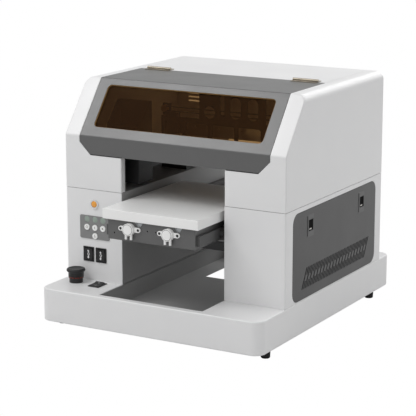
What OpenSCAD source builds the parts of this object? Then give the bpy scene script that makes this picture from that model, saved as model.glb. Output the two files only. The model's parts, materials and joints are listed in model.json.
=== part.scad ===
// Desktop flatbed UV printer, A4 class.
// Origin on the floor under the centre of the base, +X to the viewer's right, +Y back, +Z up.

/* [Housing] */
// Width of the whole housing
body_w = 520; // [510:2:540]
// Depth of the base
base_d = 626; // [620:2:640]
// Height of the base box, without its feet
base_h = 70; // [66:1:74]
// Height of the rubber feet
foot_h = 18; // [16:1:20]
// Corner radius of the base, seen from above
corner_r = 23; // [10:1:40]
// Thickness of the housing's sheet steel
sheet = 2; // [1.5:0.5:2]
// Height of the two lower towers above the base
tower_h = 196; // [194:1:198]
// Distance from the base's front to the towers' front
tower_setback = 104; // [100:1:106]
// Depth of the towers and of the hood
tower_d = 461; // [456:1:464]
// Width of the channel between the towers
channel_w = 244; // [240:2:246]
// Height of the hood above the seam
hood_h = 224; // [222:1:230]
// Height of the hood's fold above the seam
fold_h = 113; // [110:1:116]
// Depth of the hood's sloping face
slope_run = 86; // [80:1:92]
// Radius of the hood's upper side edges
hood_edge_r = 18; // [8:1:24]
// Gap between housing parts that meet at a seam
seam_gap = 1; // [0.6:0.2:1.2]

/* [Front cover] */
// Width of the hinged front cover
cover_w = 447; // [440:1:450]
// How far the cover hangs below the fold
cover_drop = 39; // [36:1:42]
// Size of the 45 degree cut at the cover's lower corners
cover_cut = 26; // [10:1:28]
// Distance from the towers' front to the hinge line
hinge_setback = 246; // [240:1:250]
// Width of the window
window_w = 398; // [380:1:400]
// Lower edge of the window, up the slope from the fold
window_low = 23; // [20:1:26]
// Upper edge of the window, up the slope from the fold
window_high = 125; // [120:1:126]

/* [Bed] */
// Width of the bed plate
bed_w = 224; // [216:2:230]
// Length of the bed plate
bed_l = 315; // [305:1:320]
// Thickness of the bed plate
bed_t = 20; // [16:1:22]
// How far the bed top lies below the seam
bed_drop = 13.5; // [12:0.5:16]
// How far the bed stands out in front of the towers at rest
bed_out = 88; // [80:1:90]
// Width of the carriage box under the bed
box_w = 204; // [200:2:206]
// Height of the carriage box
box_h = 42; // [40:1:44]

/* [Print carriage] */
// Width of the print carriage
carriage_w = 78; // [70:1:80]
// Depth of the print carriage
carriage_d = 54; // [50:1:56]
// Right side of the parked print carriage, from the middle
carriage_park = 107; // [106:1:110]

/* [Controls] */
// Radius of the round keys
key_r = 6.3; // [5:0.1:6.5]
// Radius of the emergency stop's mushroom head
stop_r = 20; // [18:0.5:22]

/* [Hidden] */
$fn = 48;

// Main planes of the housing
half = body_w / 2;
deck_z = foot_h + base_h;
seam_z = deck_z + tower_h;
fold_z = seam_z + fold_h;
top_z = seam_z + hood_h;
front_y = tower_setback - base_d / 2;
back_y = front_y + tower_d;
slope_y = front_y + slope_run;
hinge_y = front_y + hinge_setback;
chan = channel_w / 2;
slope_a = atan2(top_z - fold_z, slope_run);
gap = seam_gap / 2;

// Channel floor, and the opening in it
pan_z = 48;
pan_front = -298;
pan_window = [[-77, 61], [77, 232]];

// Side panels: outline corner to corner in Y and Z
panel_y0 = front_y + 32;
panel_y1 = front_y + 432;
panel_z0 = deck_z + 2;
panel_z1 = seam_z - 10;
panel_r = 22;

// Latches of the right side panel, by the front edge of each plate
latch_ys = [front_y + 95, front_y + 342];
latch_z = seam_z - 68.5;
latch_size = [30.5, 45.5];
button_size = [20, 23];

// Bed, its carriage box and its slides
bed_top = seam_z - bed_drop;
bed_low = bed_top - bed_t;
bed_y0 = front_y - bed_out;
box_top = bed_low - 0.3;
box_z0 = box_top - box_h;
box_y0 = bed_y0 + 6;
box_y1 = box_y0 + 297;
rail_z = box_z0 + 17;
lift_y = (box_y0 + box_y1) / 2;
screw_z = box_z0 - 23;
nut_y = lift_y + 5;

// Pump places on the front of the carriage box
pump_xs = [-49.8, 41.9];
pump_z = box_z0 + 25.5;

// Controls on the left tower and the deck
keypad = [[front_y - 1.5, -225.5, seam_z - 106], [73.5, 50]];
key_xs = [-207.5, -187.7, -168];
key_rows = [seam_z - 64, seam_z - 81, seam_z - 99];
power_at = [-188.7, seam_z - 30.5];
rocker_xs = [-204.7, -173.9];
rocker_z = seam_z - 139.5;
rocker_size = [26.4, 31.8];
stop_at = [-219, -238];
main_at = [-164.5, -239.5];

// Gantry and print carriage
plate_y = 70;
beam_z = seam_z + 82;
rail_x_z = seam_z + 94;
belt_z = seam_z + 129.5;
belt_y = 86;
belt_r = 4.2;
belt_t = 1.2;
belt_x0 = -193;
belt_x1 = 166;
carriage_x0 = -carriage_park - carriage_w;
carriage_z0 = seam_z + 12;
carriage_y0 = front_y + 46;

// ---------------------------------------------------------------- helpers

// Box between two corners
module span(a, b) {
    translate(a)
        cube(b - a);
}

// Rectangle between two corners with rounded corners
module round_rect(a, b, r) {
    translate([a[0] + r, a[1]])
        square([b[0] - a[0] - 2 * r, b[1] - a[1]]);
    translate([a[0], a[1] + r])
        square([b[0] - a[0], b[1] - a[1] - 2 * r]);
    for (x = [a[0] + r, b[0] - r], y = [a[1] + r, b[1] - r])
        translate([x, y])
            circle(r);
}

// Outline in Y and Z, extruded from x0 to x1
module along_x(x0, x1) {
    translate([x0, 0, 0])
        rotate([90, 0, 90])
            linear_extrude(x1 - x0)
                children();
}

// Outline in X and Z, extruded from y0 to y1
module along_y(y0, y1) {
    translate([0, y1, 0])
        rotate([90, 0, 0])
            linear_extrude(y1 - y0)
                children();
}

// Round bar along Y
module bar_y(x, z, r, y0, y1) {
    translate([x, y1, z])
        rotate([90, 0, 0])
            cylinder(r = r, h = y1 - y0);
}

// Round bar along X
module bar_x(y, z, r, x0, x1) {
    translate([x0, y, z])
        rotate([0, 90, 0])
            cylinder(r = r, h = x1 - x0);
}

// Places its children on the sloping face: X across, Y up the slope, Z outwards
module on_slope() {
    translate([0, front_y, fold_z])
        rotate([slope_a, 0, 0])
            children();
}

// Front, slope and top of the hood, a distance d inside its outer face
function folded(d, z0, y1) = [
    [front_y + d, z0],
    [front_y + d, fold_z - d * tan((90 - slope_a) / 2)],
    [slope_y + d * tan(slope_a / 2), top_z - d],
    [y1, top_z - d]
];

// The same line turned round
function turned(p) = [for (i = [len(p) - 1:-1:0]) p[i]];

// Sheet bent to the hood's front, between two depths below the outer face
module folded_sheet(x0, x1, d0, d1, z0, y1) {
    along_x(x0, x1)
        polygon(concat(folded(d0, z0, y1), turned(folded(d1, z0, y1))));
}

// Solid inside the hood's outer face, a distance d inside it
module hood_block(d, z0, y1) {
    r = hood_edge_r - d;
    intersection() {
        along_y(front_y - 1, y1)
            union() {
                translate([-half + d, z0])
                    square([body_w - 2 * d, top_z - d - r - z0]);
                translate([-half + d + r, z0])
                    square([body_w - 2 * d - 2 * r, top_z - d - z0]);
                for (s = [-1, 1])
                    translate([s * (half - d - r), top_z - d - r])
                        circle(r);
            }
        along_x(-half, half)
            polygon(concat(folded(d, z0, y1), [[y1, z0]]));
    }
}

// Front outline of the cover, grown by g on every side but the top
module cover_outline(g) {
    w = cover_w / 2 + g;
    z0 = fold_z - cover_drop - g;
    k = g * tan(22.5);
    polygon([
        [-w, top_z + 20], [-w, z0 + cover_cut + g - k],
        [-w + cover_cut + g - k, z0], [w - cover_cut - g + k, z0],
        [w, z0 + cover_cut + g - k], [w, top_z + 20]
    ]);
}

// Outline of a side panel, in Y and Z, shrunk by g
module panel_outline(g) {
    round_rect([panel_y0 + g, panel_z0 + g], [panel_y1 - g, panel_z1 - g], panel_r - g);
}

// One slanted slot with round ends, in Y and Z; y is where its line meets the height mid
module slanted_slot(y, mid, z0, z1) {
    lean = 28;
    w = 4;
    len = (z1 - z0) / cos(lean) - w;
    centre = (z0 + z1) / 2;
    translate([y + (centre - mid) * tan(lean), centre])
        rotate(-lean) {
            square([w, len], center = true);
            for (s = [-1, 1])
                translate([0, s * len / 2])
                    circle(w / 2, $fn = 24);
        }
}

// Slanted ventilation slots: long ones, and pairs of short ones between them
module vent_slots() {
    pitch = 15;
    mid = seam_z - 151.5;
    reach = 21.5;
    bridge = 5.5;
    for (i = [0:20]) {
        y = front_y + 86 + i * pitch;
        slanted_slot(y, mid, mid - reach, mid + reach);
        if (i < 20) {
            slanted_slot(y + pitch / 2, mid, mid + bridge, mid + reach);
            slanted_slot(y + pitch / 2, mid, mid - reach, mid - bridge);
        }
    }
}

// ---------------------------------------------------------------- housing

module base_shell() {
    lip = 30;
    h = base_d / 2;
    color("#e6e6e6")
        difference() {
            translate([0, 0, foot_h])
                linear_extrude(base_h)
                    round_rect([-half, -h], [half, h], corner_r);
            translate([0, 0, foot_h + sheet])
                linear_extrude(base_h - 2 * sheet)
                    round_rect([-half + sheet, -h + sheet], [half - sheet, h - sheet],
                        corner_r - sheet);
            translate([0, 0, foot_h - 1])
                linear_extrude(sheet + 2)
                    round_rect([-half + lip, -h + lip], [half - lip, h - lip], 4);
            span([-chan, pan_front, deck_z - sheet - 1], [chan, back_y, deck_z + 1]);
            span([-chan - sheet, front_y + sheet, deck_z - sheet - 1],
                [chan + sheet, back_y, deck_z + 1]);
            translate([stop_at[0], stop_at[1], deck_z - sheet - 1])
                cylinder(r = 11.1, h = sheet + 2);
            translate([main_at[0], main_at[1], 0])
                span([-12, -16, deck_z - sheet - 1], [12, 16, deck_z + 1]);
        }
}

// Bent sheet that lines the channel: two walls, the sunken floor and two shelves
module channel_liner() {
    low = pan_z - sheet;
    under = deck_z - sheet;
    color("#6e6e6e")
        difference() {
            union() {
                for (s = [0, 1])
                    mirror([s, 0, 0]) {
                        along_x(chan, chan + sheet)
                            polygon([
                                [pan_front, low], [back_y, low], [back_y, seam_z],
                                [front_y + sheet, seam_z], [front_y + sheet, under],
                                [pan_front, under]
                            ]);
                        span([chan, front_y + sheet, seam_z - sheet], [half - sheet, back_y - sheet, seam_z]);
                    }
                span([-chan, pan_front, low], [chan, back_y, pan_z]);
                span([-chan - sheet, pan_front - sheet, low], [chan + sheet, pan_front, under]);
                span([-chan - sheet, back_y, low], [chan + sheet, back_y + sheet, under]);
            }
            span([pan_window[0][0], pan_window[0][1], low - 1],
                [pan_window[1][0], pan_window[1][1], pan_z + 1]);
        }
}

// Front and side sheets of the two lower towers, with the panel openings and control holes
module tower_shells() {
    t0 = front_y - 1;
    t1 = front_y + sheet + 1;
    color("#e6e6e6")
        difference() {
            for (s = [0, 1])
                mirror([s, 0, 0]) {
                    span([chan, front_y, deck_z], [half, front_y + sheet, seam_z - gap]);
                    difference() {
                        span([half - sheet, front_y + sheet, deck_z], [half, back_y, seam_z - gap]);
                        along_x(half - sheet - 1, half + 1)
                            panel_outline(0);
                    }
                }
            for (x = key_xs)
                bar_y(x, key_rows[1], key_r + 0.5, t0, t1);
            bar_y(key_xs[1], key_rows[2], key_r + 0.5, t0, t1);
            bar_y(power_at[0], power_at[1], 8, t0, t1);
            for (x = rocker_xs)
                span([x - 12, t0, rocker_z - 14.7], [x + 12, t1, rocker_z + 14.7]);
        }
}

module hood_shell() {
    low = seam_z + gap;
    mouth = fold_z - cover_drop - 1;
    fold_in = 15;
    color("#ececec") {
        difference() {
            hood_block(0, low, back_y);
            hood_block(sheet, low - 5, back_y + 5);
            along_y(front_y - 1, hinge_y + gap)
                cover_outline(1);
            span([-chan, front_y - 1, low - 1], [chan, front_y + fold_in, mouth + 2]);
        }
        for (s = [0, 1])
            mirror([s, 0, 0])
                span([chan, front_y + sheet, low], [chan + sheet, front_y + fold_in, mouth]);
    }
}

// Back of the hood, open where the bed runs out behind
module hood_rear_panel() {
    color("#dedede")
        difference() {
            intersection() {
                hood_block(sheet, seam_z + gap, back_y);
                span([-half, back_y - sheet, seam_z], [half, back_y, top_z]);
            }
            span([-chan, back_y - sheet - 1, seam_z - 1], [chan, back_y + 1, seam_z + 78]);
            for (s = [-1, 1], i = [0:6])
                along_y(back_y - sheet - 1, back_y + 1)
                    round_rect([s * 190 - 38, seam_z + 120 + i * 9],
                        [s * 190 + 38, seam_z + 123.4 + i * 9], 1.6);
        }
}

// Backs of the two lower towers, with the fan opening and the inlet opening
module lower_rear_panels() {
    y0 = back_y - sheet;
    color("#dedede")
        difference() {
            for (s = [0, 1])
                mirror([s, 0, 0])
                    span([chan + sheet, y0, deck_z], [half - sheet, back_y, seam_z - gap]);
            bar_y(-190, deck_z + 100, 36, y0 - 1, back_y + 1);
            span([190 - 24.2, y0 - 1, deck_z + 36], [190 + 24.2, back_y + 1, deck_z + 64]);
        }
}

module rubber_feet() {
    color("#1b1b1b")
        for (x = [-242, 242], y = [-256, 240])
            translate([x, y, 0])
                rotate_extrude()
                    polygon([[0, 0], [8.2, 0], [9.4, 1.2], [10.2, foot_h], [0, foot_h]]);
}

// Dark rubber seat behind the cover's edges, with a step that leaves the cover free
module cover_gasket() {
    w = cover_w / 2;
    lip = 8;
    free = 1.2;
    seat = sheet + 0.4;
    deep = sheet + 3;
    color("#202020")
        difference() {
            union() {
                for (s = [0, 1])
                    mirror([s, 0, 0])
                        folded_sheet(w - lip, w + lip, sheet, deep, fold_z - 10, hinge_y - 6);
                difference() {
                    along_y(front_y + sheet, front_y + deep)
                        difference() {
                            cover_outline(lip);
                            cover_outline(-lip);
                        }
                    span([-half, front_y, fold_z - 5], [half, back_y, top_z + 30]);
                }
            }
            folded_sheet(-w - free, w + free, -1, seat, fold_z - 12, hinge_y);
            along_y(front_y, front_y + seat)
                cover_outline(free);
            span([-chan - sheet, front_y, seam_z], [chan + sheet, hinge_y - 10, fold_z - 4]);
        }
}

// ---------------------------------------------------------------- front cover

// Axis and size of the two butt hinges
axis_z = top_z + 3;
knuckle_r = 3;
leaf_t = 1.6;
leaf_half = 29;
hinge_xs = [-178, 178];

// Two outer knuckles of each hinge with the leaf on the hood, and the pin through them
module hinge_fixed_leaves() {
    mid = leaf_half / 3;
    color("#c8c4bc")
        for (x = hinge_xs)
            translate([x, 0, 0]) {
                difference() {
                    union() {
                        for (s = [0, 1])
                            mirror([s, 0, 0]) {
                                bar_x(hinge_y, axis_z, knuckle_r, mid + 0.15, leaf_half);
                                span([mid + 0.15, hinge_y, top_z], [leaf_half, hinge_y + 6, top_z + leaf_t]);
                            }
                        span([-leaf_half, hinge_y + 3.5, top_z], [leaf_half, hinge_y + 15, top_z + leaf_t]);
                    }
                    bar_x(hinge_y, axis_z, 1.5, -leaf_half - 1, leaf_half + 1);
                }
                bar_x(hinge_y, axis_z, 1.5, -leaf_half - 0.6, leaf_half + 0.6);
            }
}

// Middle knuckle of each hinge with the leaf on the cover
module hinge_moving_leaves() {
    mid = leaf_half / 3;
    color("#c8c4bc")
        for (x = hinge_xs)
            translate([x, 0, 0])
                difference() {
                    union() {
                        bar_x(hinge_y, axis_z, knuckle_r, -mid + 0.15, mid - 0.15);
                        span([-mid + 0.15, hinge_y - 6, top_z], [mid - 0.15, hinge_y, top_z + leaf_t]);
                        span([-leaf_half, hinge_y - 13, top_z], [leaf_half, hinge_y - 3.5, top_z + leaf_t]);
                    }
                    bar_x(hinge_y, axis_z, 1.55, -mid, mid);
                }
}

// Bent sheet: top, slope with the window opening, and a short vertical apron
module front_cover() {
    low = fold_z - cover_drop;
    color("#6f6f6f") {
        difference() {
            intersection() {
                folded_sheet(-cover_w / 2, cover_w / 2, 0, sheet, low, hinge_y - gap);
                along_y(front_y - 1, hinge_y)
                    cover_outline(0);
            }
            on_slope()
                translate([0, 0, -sheet - 4])
                    linear_extrude(sheet + 8)
                        round_rect([-window_w / 2, window_low], [window_w / 2, window_high], 10);
        }
        span([-chan + 6, front_y + sheet, low], [chan - 6, front_y + 12, low + sheet]);
    }
}

module cover_window() {
    edge = 8;
    color("#5a3a22", 0.6)
        on_slope()
            translate([0, 0, -sheet - 3])
                linear_extrude(3)
                    round_rect([-window_w / 2 - edge, window_low - edge],
                        [window_w / 2 + edge, window_high + edge], 12);
}

// ---------------------------------------------------------------- side panels

module left_side_panel() {
    color("#5c5c5c")
        along_x(-half, -half + sheet)
            difference() {
                panel_outline(0);
                vent_slots();
            }
}

module right_side_panel() {
    color("#5c5c5c")
        along_x(half - sheet, half)
            difference() {
                panel_outline(0.8);
                vent_slots();
                for (y = latch_ys)
                    translate([y, latch_z])
                        square(latch_size);
            }
}

// Flush plates of the two latches, each with a finger slot and a button opening
module latch_plates() {
    color("#666666")
        for (y = latch_ys)
            along_x(half - sheet - 4, half + 0.3)
                translate([y, latch_z])
                    difference() {
                        square(latch_size);
                        translate([7.7, 11.2])
                            square(button_size + [0.6, 0.6]);
                        translate([0.8, 2])
                            square([3.4, latch_size[1] - 4]);
                    }
}

module latch_button(y) {
    color("#101010")
        span([half - sheet - 6, y + 8, latch_z + 11.5],
            [half - 0.6, y + 8 + button_size[0], latch_z + 11.5 + button_size[1]]);
}

module front_latch_button() { latch_button(latch_ys[0]); }

module rear_latch_button() { latch_button(latch_ys[1]); }

// ---------------------------------------------------------------- controls

// Dark keypad overlay with a hole for each key and lamp
module keypad_plate() {
    at = keypad[0];
    size = keypad[1];
    color("#808080")
        difference() {
            along_y(at[0], front_y)
                round_rect([at[1], at[2]], [at[1] + size[0], at[2] + size[1]], 4);
            for (x = key_xs, z = [key_rows[0], key_rows[1]])
                bar_y(x, z, key_r + 0.3, at[0] - 1, front_y + 1);
            bar_y(key_xs[1], key_rows[2], key_r + 0.3, at[0] - 1, front_y + 1);
        }
}

module indicator_lenses() {
    color("#93a393")
        for (x = key_xs)
            bar_y(x, key_rows[0], key_r + 0.3, front_y - 1.9, front_y);
}

// Round key with its stem
module key(x, z) {
    color("#e4e4e4") {
        bar_y(x, z, key_r, front_y - 2.8, front_y + 1.2);
        bar_y(x, z, 3, front_y + 1.2, front_y + 6);
    }
}

module left_key() { key(key_xs[0], key_rows[1]); }

module middle_key() { key(key_xs[1], key_rows[1]); }

module right_key() { key(key_xs[2], key_rows[1]); }

module lower_key() { key(key_xs[1], key_rows[2]); }

// Threaded barrel and chromed ring of the power button
module power_button_ring() {
    color("#f0f0f0")
        translate([power_at[0], front_y, power_at[1]])
            rotate([90, 0, 0])
                difference() {
                    union() {
                        cylinder(r = 9.8, h = 2.4);
                        translate([0, 0, -20])
                            cylinder(r = 8, h = 21);
                    }
                    translate([0, 0, -18])
                        cylinder(r = 7, h = 25);
                }
}

module power_button() {
    color("#f0a030")
        translate([power_at[0], front_y, power_at[1]])
            rotate([90, 0, 0])
                translate([0, 0, -14])
                    cylinder(r = 6.6, h = 17.2);
}

// Size and place of a rocker switch's pivot, by its depth below the flange
pivot_r = 1.25;
pivot_depth = 5;

// Frame of a rocker switch: flange and open box, front towards +Z
module bezel(size, hole) {
    difference() {
        union() {
            translate([-size[0] / 2, -size[1] / 2, 0])
                cube([size[0], size[1], 2]);
            translate([-12, -14.7, -18])
                cube([24, 29.4, 18.5]);
        }
        translate([-hole[0] / 2, -hole[1] / 2, -16.5])
            cube([hole[0], hole[1], 30]);
        bar_x(0, -pivot_depth, pivot_r + 0.05, -11.3, 11.3);
    }
}

// Two frames on the tower and one on the deck
module switch_bezels() {
    color("#161616") {
        for (x = rocker_xs)
            translate([x, front_y, rocker_z])
                rotate([90, 0, 0])
                    bezel(rocker_size, [21, 27]);
        translate([main_at[0], main_at[1], deck_z])
            bezel([27, 35], [21, 27]);
    }
}

// Rocker with a hollowed face, pivot at the origin, front towards +Z
module rocker() {
    w = 20.6;
    h = 12.3;
    bar_x(0, 0, pivot_r, -11.2, 11.2);
    translate([-w / 2, 0, 0])
        rotate([90, 0, 90])
            linear_extrude(w)
                polygon([
                    [-h, pivot_depth + 4], [0, pivot_depth + 2], [h, pivot_depth + 4],
                    [h, -1], [5, -6], [-5, -6], [-h, -1]
                ]);
}

module bed_rocker() {
    color("#101010")
        translate([rocker_xs[0], front_y + pivot_depth, rocker_z])
            rotate([90, 0, 0])
                rocker();
}

module lift_rocker() {
    color("#101010")
        translate([rocker_xs[1], front_y + pivot_depth, rocker_z])
            rotate([90, 0, 0])
                rocker();
}

// Main switch on the deck, stored tipped to off
main_tip = 7;

module main_rocker() {
    color("#101010")
        translate([main_at[0], main_at[1], deck_z - pivot_depth])
            rotate([main_tip, 0, 0])
                rocker();
}

// Collar and threaded barrel of the emergency stop
module stop_base() {
    color("#1c1c1c")
        translate([stop_at[0], stop_at[1], deck_z])
            difference() {
                union() {
                    cylinder(r = 14.4, h = 9);
                    translate([0, 0, -22])
                        cylinder(r = 11, h = 23);
                }
                translate([0, 0, -20])
                    cylinder(r = 8.05, h = 40);
            }
}

// Plunger that carries the head: shaft and skirt
module stop_plunger() {
    color("#1c1c1c")
        translate([stop_at[0], stop_at[1], deck_z])
            difference() {
                union() {
                    translate([0, 0, -14])
                        cylinder(r = 8, h = 29);
                    translate([0, 0, 13.4])
                        cylinder(r = 15.8, h = 5);
                }
                translate([0, 0, 12])
                    cylinder(r = 3.05, h = 10);
            }
}

// Mushroom head that also turns to release
module stop_head() {
    color("#202020")
        translate([stop_at[0], stop_at[1], deck_z]) {
            rotate_extrude()
                polygon([
                    [0, 18.7], [stop_r - 4, 18.7], [stop_r, 22.4], [stop_r, 25.4],
                    [stop_r - 3.5, 29], [stop_r - 9, 30.2], [0, 30.2]
                ]);
            translate([0, 0, 12.3])
                cylinder(r = 3, h = 8);
        }
}

// ---------------------------------------------------------------- bed

// Grooved slides on the channel walls
module y_rails() {
    color("#242424")
        for (s = [0, 1])
            mirror([s, 0, 0])
                difference() {
                    span([chan - 12, front_y + 4, rail_z - 12.5], [chan, back_y - 2, rail_z + 12.5]);
                    span([chan - 13, front_y, rail_z - 5], [chan - 6, back_y, rail_z + 5]);
                }
}

// Runners on the carriage box, with a tongue in each slide
module bed_runners() {
    color("#b4b4b4")
        for (s = [0, 1])
            mirror([s, 0, 0]) {
                span([box_w / 2, box_y0 + 6, rail_z - 11], [chan - 12.4, box_y1, rail_z + 11]);
                span([chan - 12.4, front_y + 6, rail_z - 4.7], [chan - 6.4, box_y1, rail_z + 4.7]);
            }
}

// Lead screw under the bed
module y_screw() {
    color("#a8a8a8")
        bar_y(0, screw_z, 4, front_y + 44, back_y - 20);
}

// Motor at the back end of the screw and the cross bar that holds both ends
module y_motor() {
    bar_h = 15;
    color("#2a2a2a")
        difference() {
            union() {
                span([-21, back_y - 19.5, screw_z - 21], [21, back_y + 14, screw_z + 21]);
                span([-chan, back_y - 24, screw_z - bar_h], [chan, back_y - 19.5, screw_z + bar_h]);
                span([-chan, front_y + 50, screw_z - 9], [chan, front_y + 56, screw_z + 9]);
            }
            bar_y(0, screw_z, 4.05, front_y, back_y - 10);
        }
}

// Folded box that carries the bed: open at the top
module bed_box() {
    w = box_w / 2;
    color("#5f5f5f")
        difference() {
            union() {
                span([-w, box_y0, box_z0], [w, box_y1, box_top]);
                span([-16, nut_y, screw_z - 8], [16, nut_y + 20, box_z0]);
            }
            span([-w + sheet, box_y0 + sheet, box_z0 + sheet], [w - sheet, box_y1 - sheet, box_top + 1]);
            bar_y(0, screw_z, 4.05, nut_y - 1, nut_y + 21);
            for (x = pump_xs)
                bar_y(x, pump_z, 6, box_y0 - 1, box_y0 + sheet + 1);
            for (x = [[-86.9, -11.5], [-8.5, 0], [11.4, 0]])
                bar_y(x[0], pump_z + x[1], 1.6, box_y0 - 1, box_y0 + sheet + 1);
        }
}

// Hollow-shaft motor that raises the bed, and four guide bushes
module lift_motor() {
    z0 = box_z0 + sheet;
    color("#303030") {
        difference() {
            translate([-21, lift_y - 21, z0])
                cube([42, 42, 24]);
            translate([0, lift_y, z0 - 1])
                cylinder(r = 8.05, h = 26);
        }
        for (x = [-80, 80], y = [lift_y - 110, lift_y + 110])
            translate([x, y, z0])
                difference() {
                    cylinder(r = 8, h = 26);
                    translate([0, 0, -1])
                        cylinder(r = 4.05, h = 28);
                }
    }
}

// Rotor of the lift motor: a nut that turns on the lift screw
module lift_rotor_nut() {
    color("#b08d57")
        translate([0, lift_y, box_z0 + sheet + 1])
            difference() {
                cylinder(r = 8, h = 22);
                translate([0, 0, -1])
                    cylinder(r = 4.05, h = 24);
            }
}

// Lift screw in the middle and four guide posts, fixed under the bed plate
module lift_posts() {
    z0 = box_z0 + sheet + 0.5;
    color("#bdbdbd")
        for (p = [[0, 0], [-80, -110], [80, -110], [-80, 110], [80, 110]])
            translate([p[0], lift_y + p[1], z0])
                cylinder(r = 4, h = bed_low - z0);
}

// Flat bed plate with rows of fine suction holes in its top
module bed_plate() {
    hole_r = 0.9;
    pitch = 24;
    color("#f2f2f2")
        difference() {
            translate([0, 0, bed_low])
                linear_extrude(bed_t)
                    round_rect([-bed_w / 2, bed_y0], [bed_w / 2, bed_y0 + bed_l], 1.5);
            for (i = [-4:4], j = [0:12])
                translate([i * pitch, bed_y0 + 14 + j * pitch, bed_top - 3])
                    cylinder(r = hole_r, h = 4, $fn = 13);
        }
}

// ---------------------------------------------------------------- pumps

// Places its children at each pump, front towards +Z
module at_pump(i) {
    translate([pump_xs[i], box_y0, pump_z])
        rotate([90, 0, 0])
            children();
}

// Flange outline of a pump head: a disc and two ears
module pump_flange() {
    ear = 20.8;
    circle(12.5);
    for (s = [-1, 1])
        translate([s * ear, 0])
            circle(5);
    difference() {
        union() {
            polygon([[-ear, 5], [ear, 5], [8, -9], [-8, -9]]);
            square([2 * ear, 10], center = true);
        }
        for (s = [-1, 1])
            translate([s * 25, -9])
                circle(4);
    }
}

// Both pump heads: flange, round chamber with a cap, and two hose barbs
module pump_housings() {
    ear = 20.8;
    color("#f4f4f4")
        for (i = [0, 1])
            at_pump(i) {
                difference() {
                    union() {
                        linear_extrude(3)
                            pump_flange();
                        cylinder(r = 12.5, h = 10);
                        cylinder(r = 10, h = 11);
                        for (s = [-1, 1])
                            translate([s * 6, -8, 5.5])
                                rotate([90, 0, 0])
                                    cylinder(r = 2.6, h = 12.5);
                    }
                    translate([0, 0, -1])
                        cylinder(r = 9, h = 10);
                    for (s = [-1, 1]) {
                        translate([s * ear, 0, -1])
                            cylinder(r = 1.9, h = 5);
                        translate([s * 6, -10, 5.5])
                            rotate([90, 0, 0])
                                cylinder(r = 1.3, h = 12);
                    }
                }
            }
}

// Rotor of a pump: hub, three rollers and the drive shaft into the box
module pump_rotor(i) {
    color("#d0d0d0")
        at_pump(i) {
            translate([0, 0, -14])
                cylinder(r = 2, h = 21);
            translate([0, 0, 1])
                cylinder(r = 8.4, h = 1.4);
            for (k = [0:2])
                rotate(k * 120)
                    translate([5.6, 0, 2])
                        cylinder(r = 2.6, h = 6);
        }
}

module left_pump_rotor() { pump_rotor(0); }

module right_pump_rotor() { pump_rotor(1); }

// ---------------------------------------------------------------- gantry

// Cut-outs of the gantry's front plate, in X and Z
module gantry_cutouts() {
    lower = [[-186, -139], [-129, -75], [-63, -9], [1, 56], [66, 121]];
    for (c = lower)
        round_rect([c[0], seam_z + 66], [c[1], seam_z + 104.5], 5);
    translate([-70, seam_z + 132])
        circle(13.5);
    round_rect([-43, seam_z + 127], [-33, seam_z + 176], 4.8);
    round_rect([-19, seam_z + 122], [7.7, seam_z + 169], 12.5);
    round_rect([24, seam_z + 122], [50, seam_z + 169], 12.5);
}

// Front plate with its cut-outs, two end brackets that stand on the shelves, and the idler's tab
module gantry_frame() {
    color("#3c3430") {
        along_y(plate_y, plate_y + sheet)
            difference() {
                union() {
                    round_rect([-190, seam_z + 60], [190, seam_z + 116], 3);
                    round_rect([-96, seam_z + 90], [69, seam_z + 186], 4);
                }
                gantry_cutouts();
            }
        along_y(belt_y + 8, belt_y + 11)
            difference() {
                translate([belt_x0 - 10, seam_z + 112])
                    square([20, 28]);
                translate([belt_x0, belt_z])
                    circle(2.05);
            }
        for (s = [0, 1])
            mirror([s, 0, 0]) {
                difference() {
                    span([190, plate_y, seam_z], [193, plate_y + 66, seam_z + 116]);
                    span([189, plate_y + 12, seam_z + 24], [194, plate_y + 24, seam_z + 70]);
                }
                span([chan + 8, plate_y, seam_z], [190, plate_y + sheet, seam_z + 16]);
            }
    }
}

// Aluminium cross beam with two grooves in its back
module x_beam() {
    color("#8b8b8b")
        difference() {
            span([-190, plate_y + 30, beam_z - 10], [190, plate_y + 58, beam_z + 22]);
            for (z = [beam_z - 2, beam_z + 14])
                span([-191, plate_y + 52, z - 2.5], [191, plate_y + 59, z + 2.5]);
        }
}

// Steel linear rail with its row of counterbored screw holes
module x_rail() {
    color("#c9c9c9")
        difference() {
            span([-188, plate_y + 20, rail_x_z - 7.5], [188, plate_y + 30, rail_x_z + 7.5]);
            for (i = [0:6])
                bar_y(-174 + 58 * i, rail_x_z, 3, plate_y + 19, plate_y + 24.5);
        }
}

// Stepping motor on the beam's right end
module x_motor() {
    color("#262626")
        difference() {
            union() {
                span([belt_x1 - 21, belt_y + 13, belt_z - 21], [belt_x1 + 21, belt_y + 49, belt_z + 21]);
                span([belt_x1 - 21, belt_y + 14, beam_z + 22], [belt_x1 + 21, belt_y + 41, belt_z - 20]);
                span([belt_x1 - 22, belt_y + 10, belt_z - 22], [belt_x1 + 22, belt_y + 13, belt_z + 22]);
            }
            bar_y(belt_x1, belt_z, 3, belt_y, belt_y + 20);
        }
}

// Toothed belt, drawn as its smooth loop
module x_belt() {
    color("#1a1a1a")
        along_y(belt_y - 3, belt_y + 3)
            difference() {
                belt_outline(belt_r + belt_t);
                belt_outline(belt_r);
            }
}

// Loop round both pulleys at a given radius
module belt_outline(r) {
    translate([belt_x0, belt_z - r])
        square([belt_x1 - belt_x0, 2 * r]);
    for (x = [belt_x0, belt_x1])
        translate([x, belt_z])
            circle(r);
}

// Flanged pulley of a given hub, in the belt's plane
module pulley(x) {
    bar_y(x, belt_z, belt_r - 0.1, belt_y - 3.6, belt_y + 3.6);
    for (y = [belt_y - 5, belt_y + 3.6])
        bar_y(x, belt_z, 7.6, y, y + 1.4);
}

module idler_pulley() {
    color("#b9a27c") {
        pulley(belt_x0);
        bar_y(belt_x0, belt_z, 2, belt_y - 7, belt_y + 16);
    }
}

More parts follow.
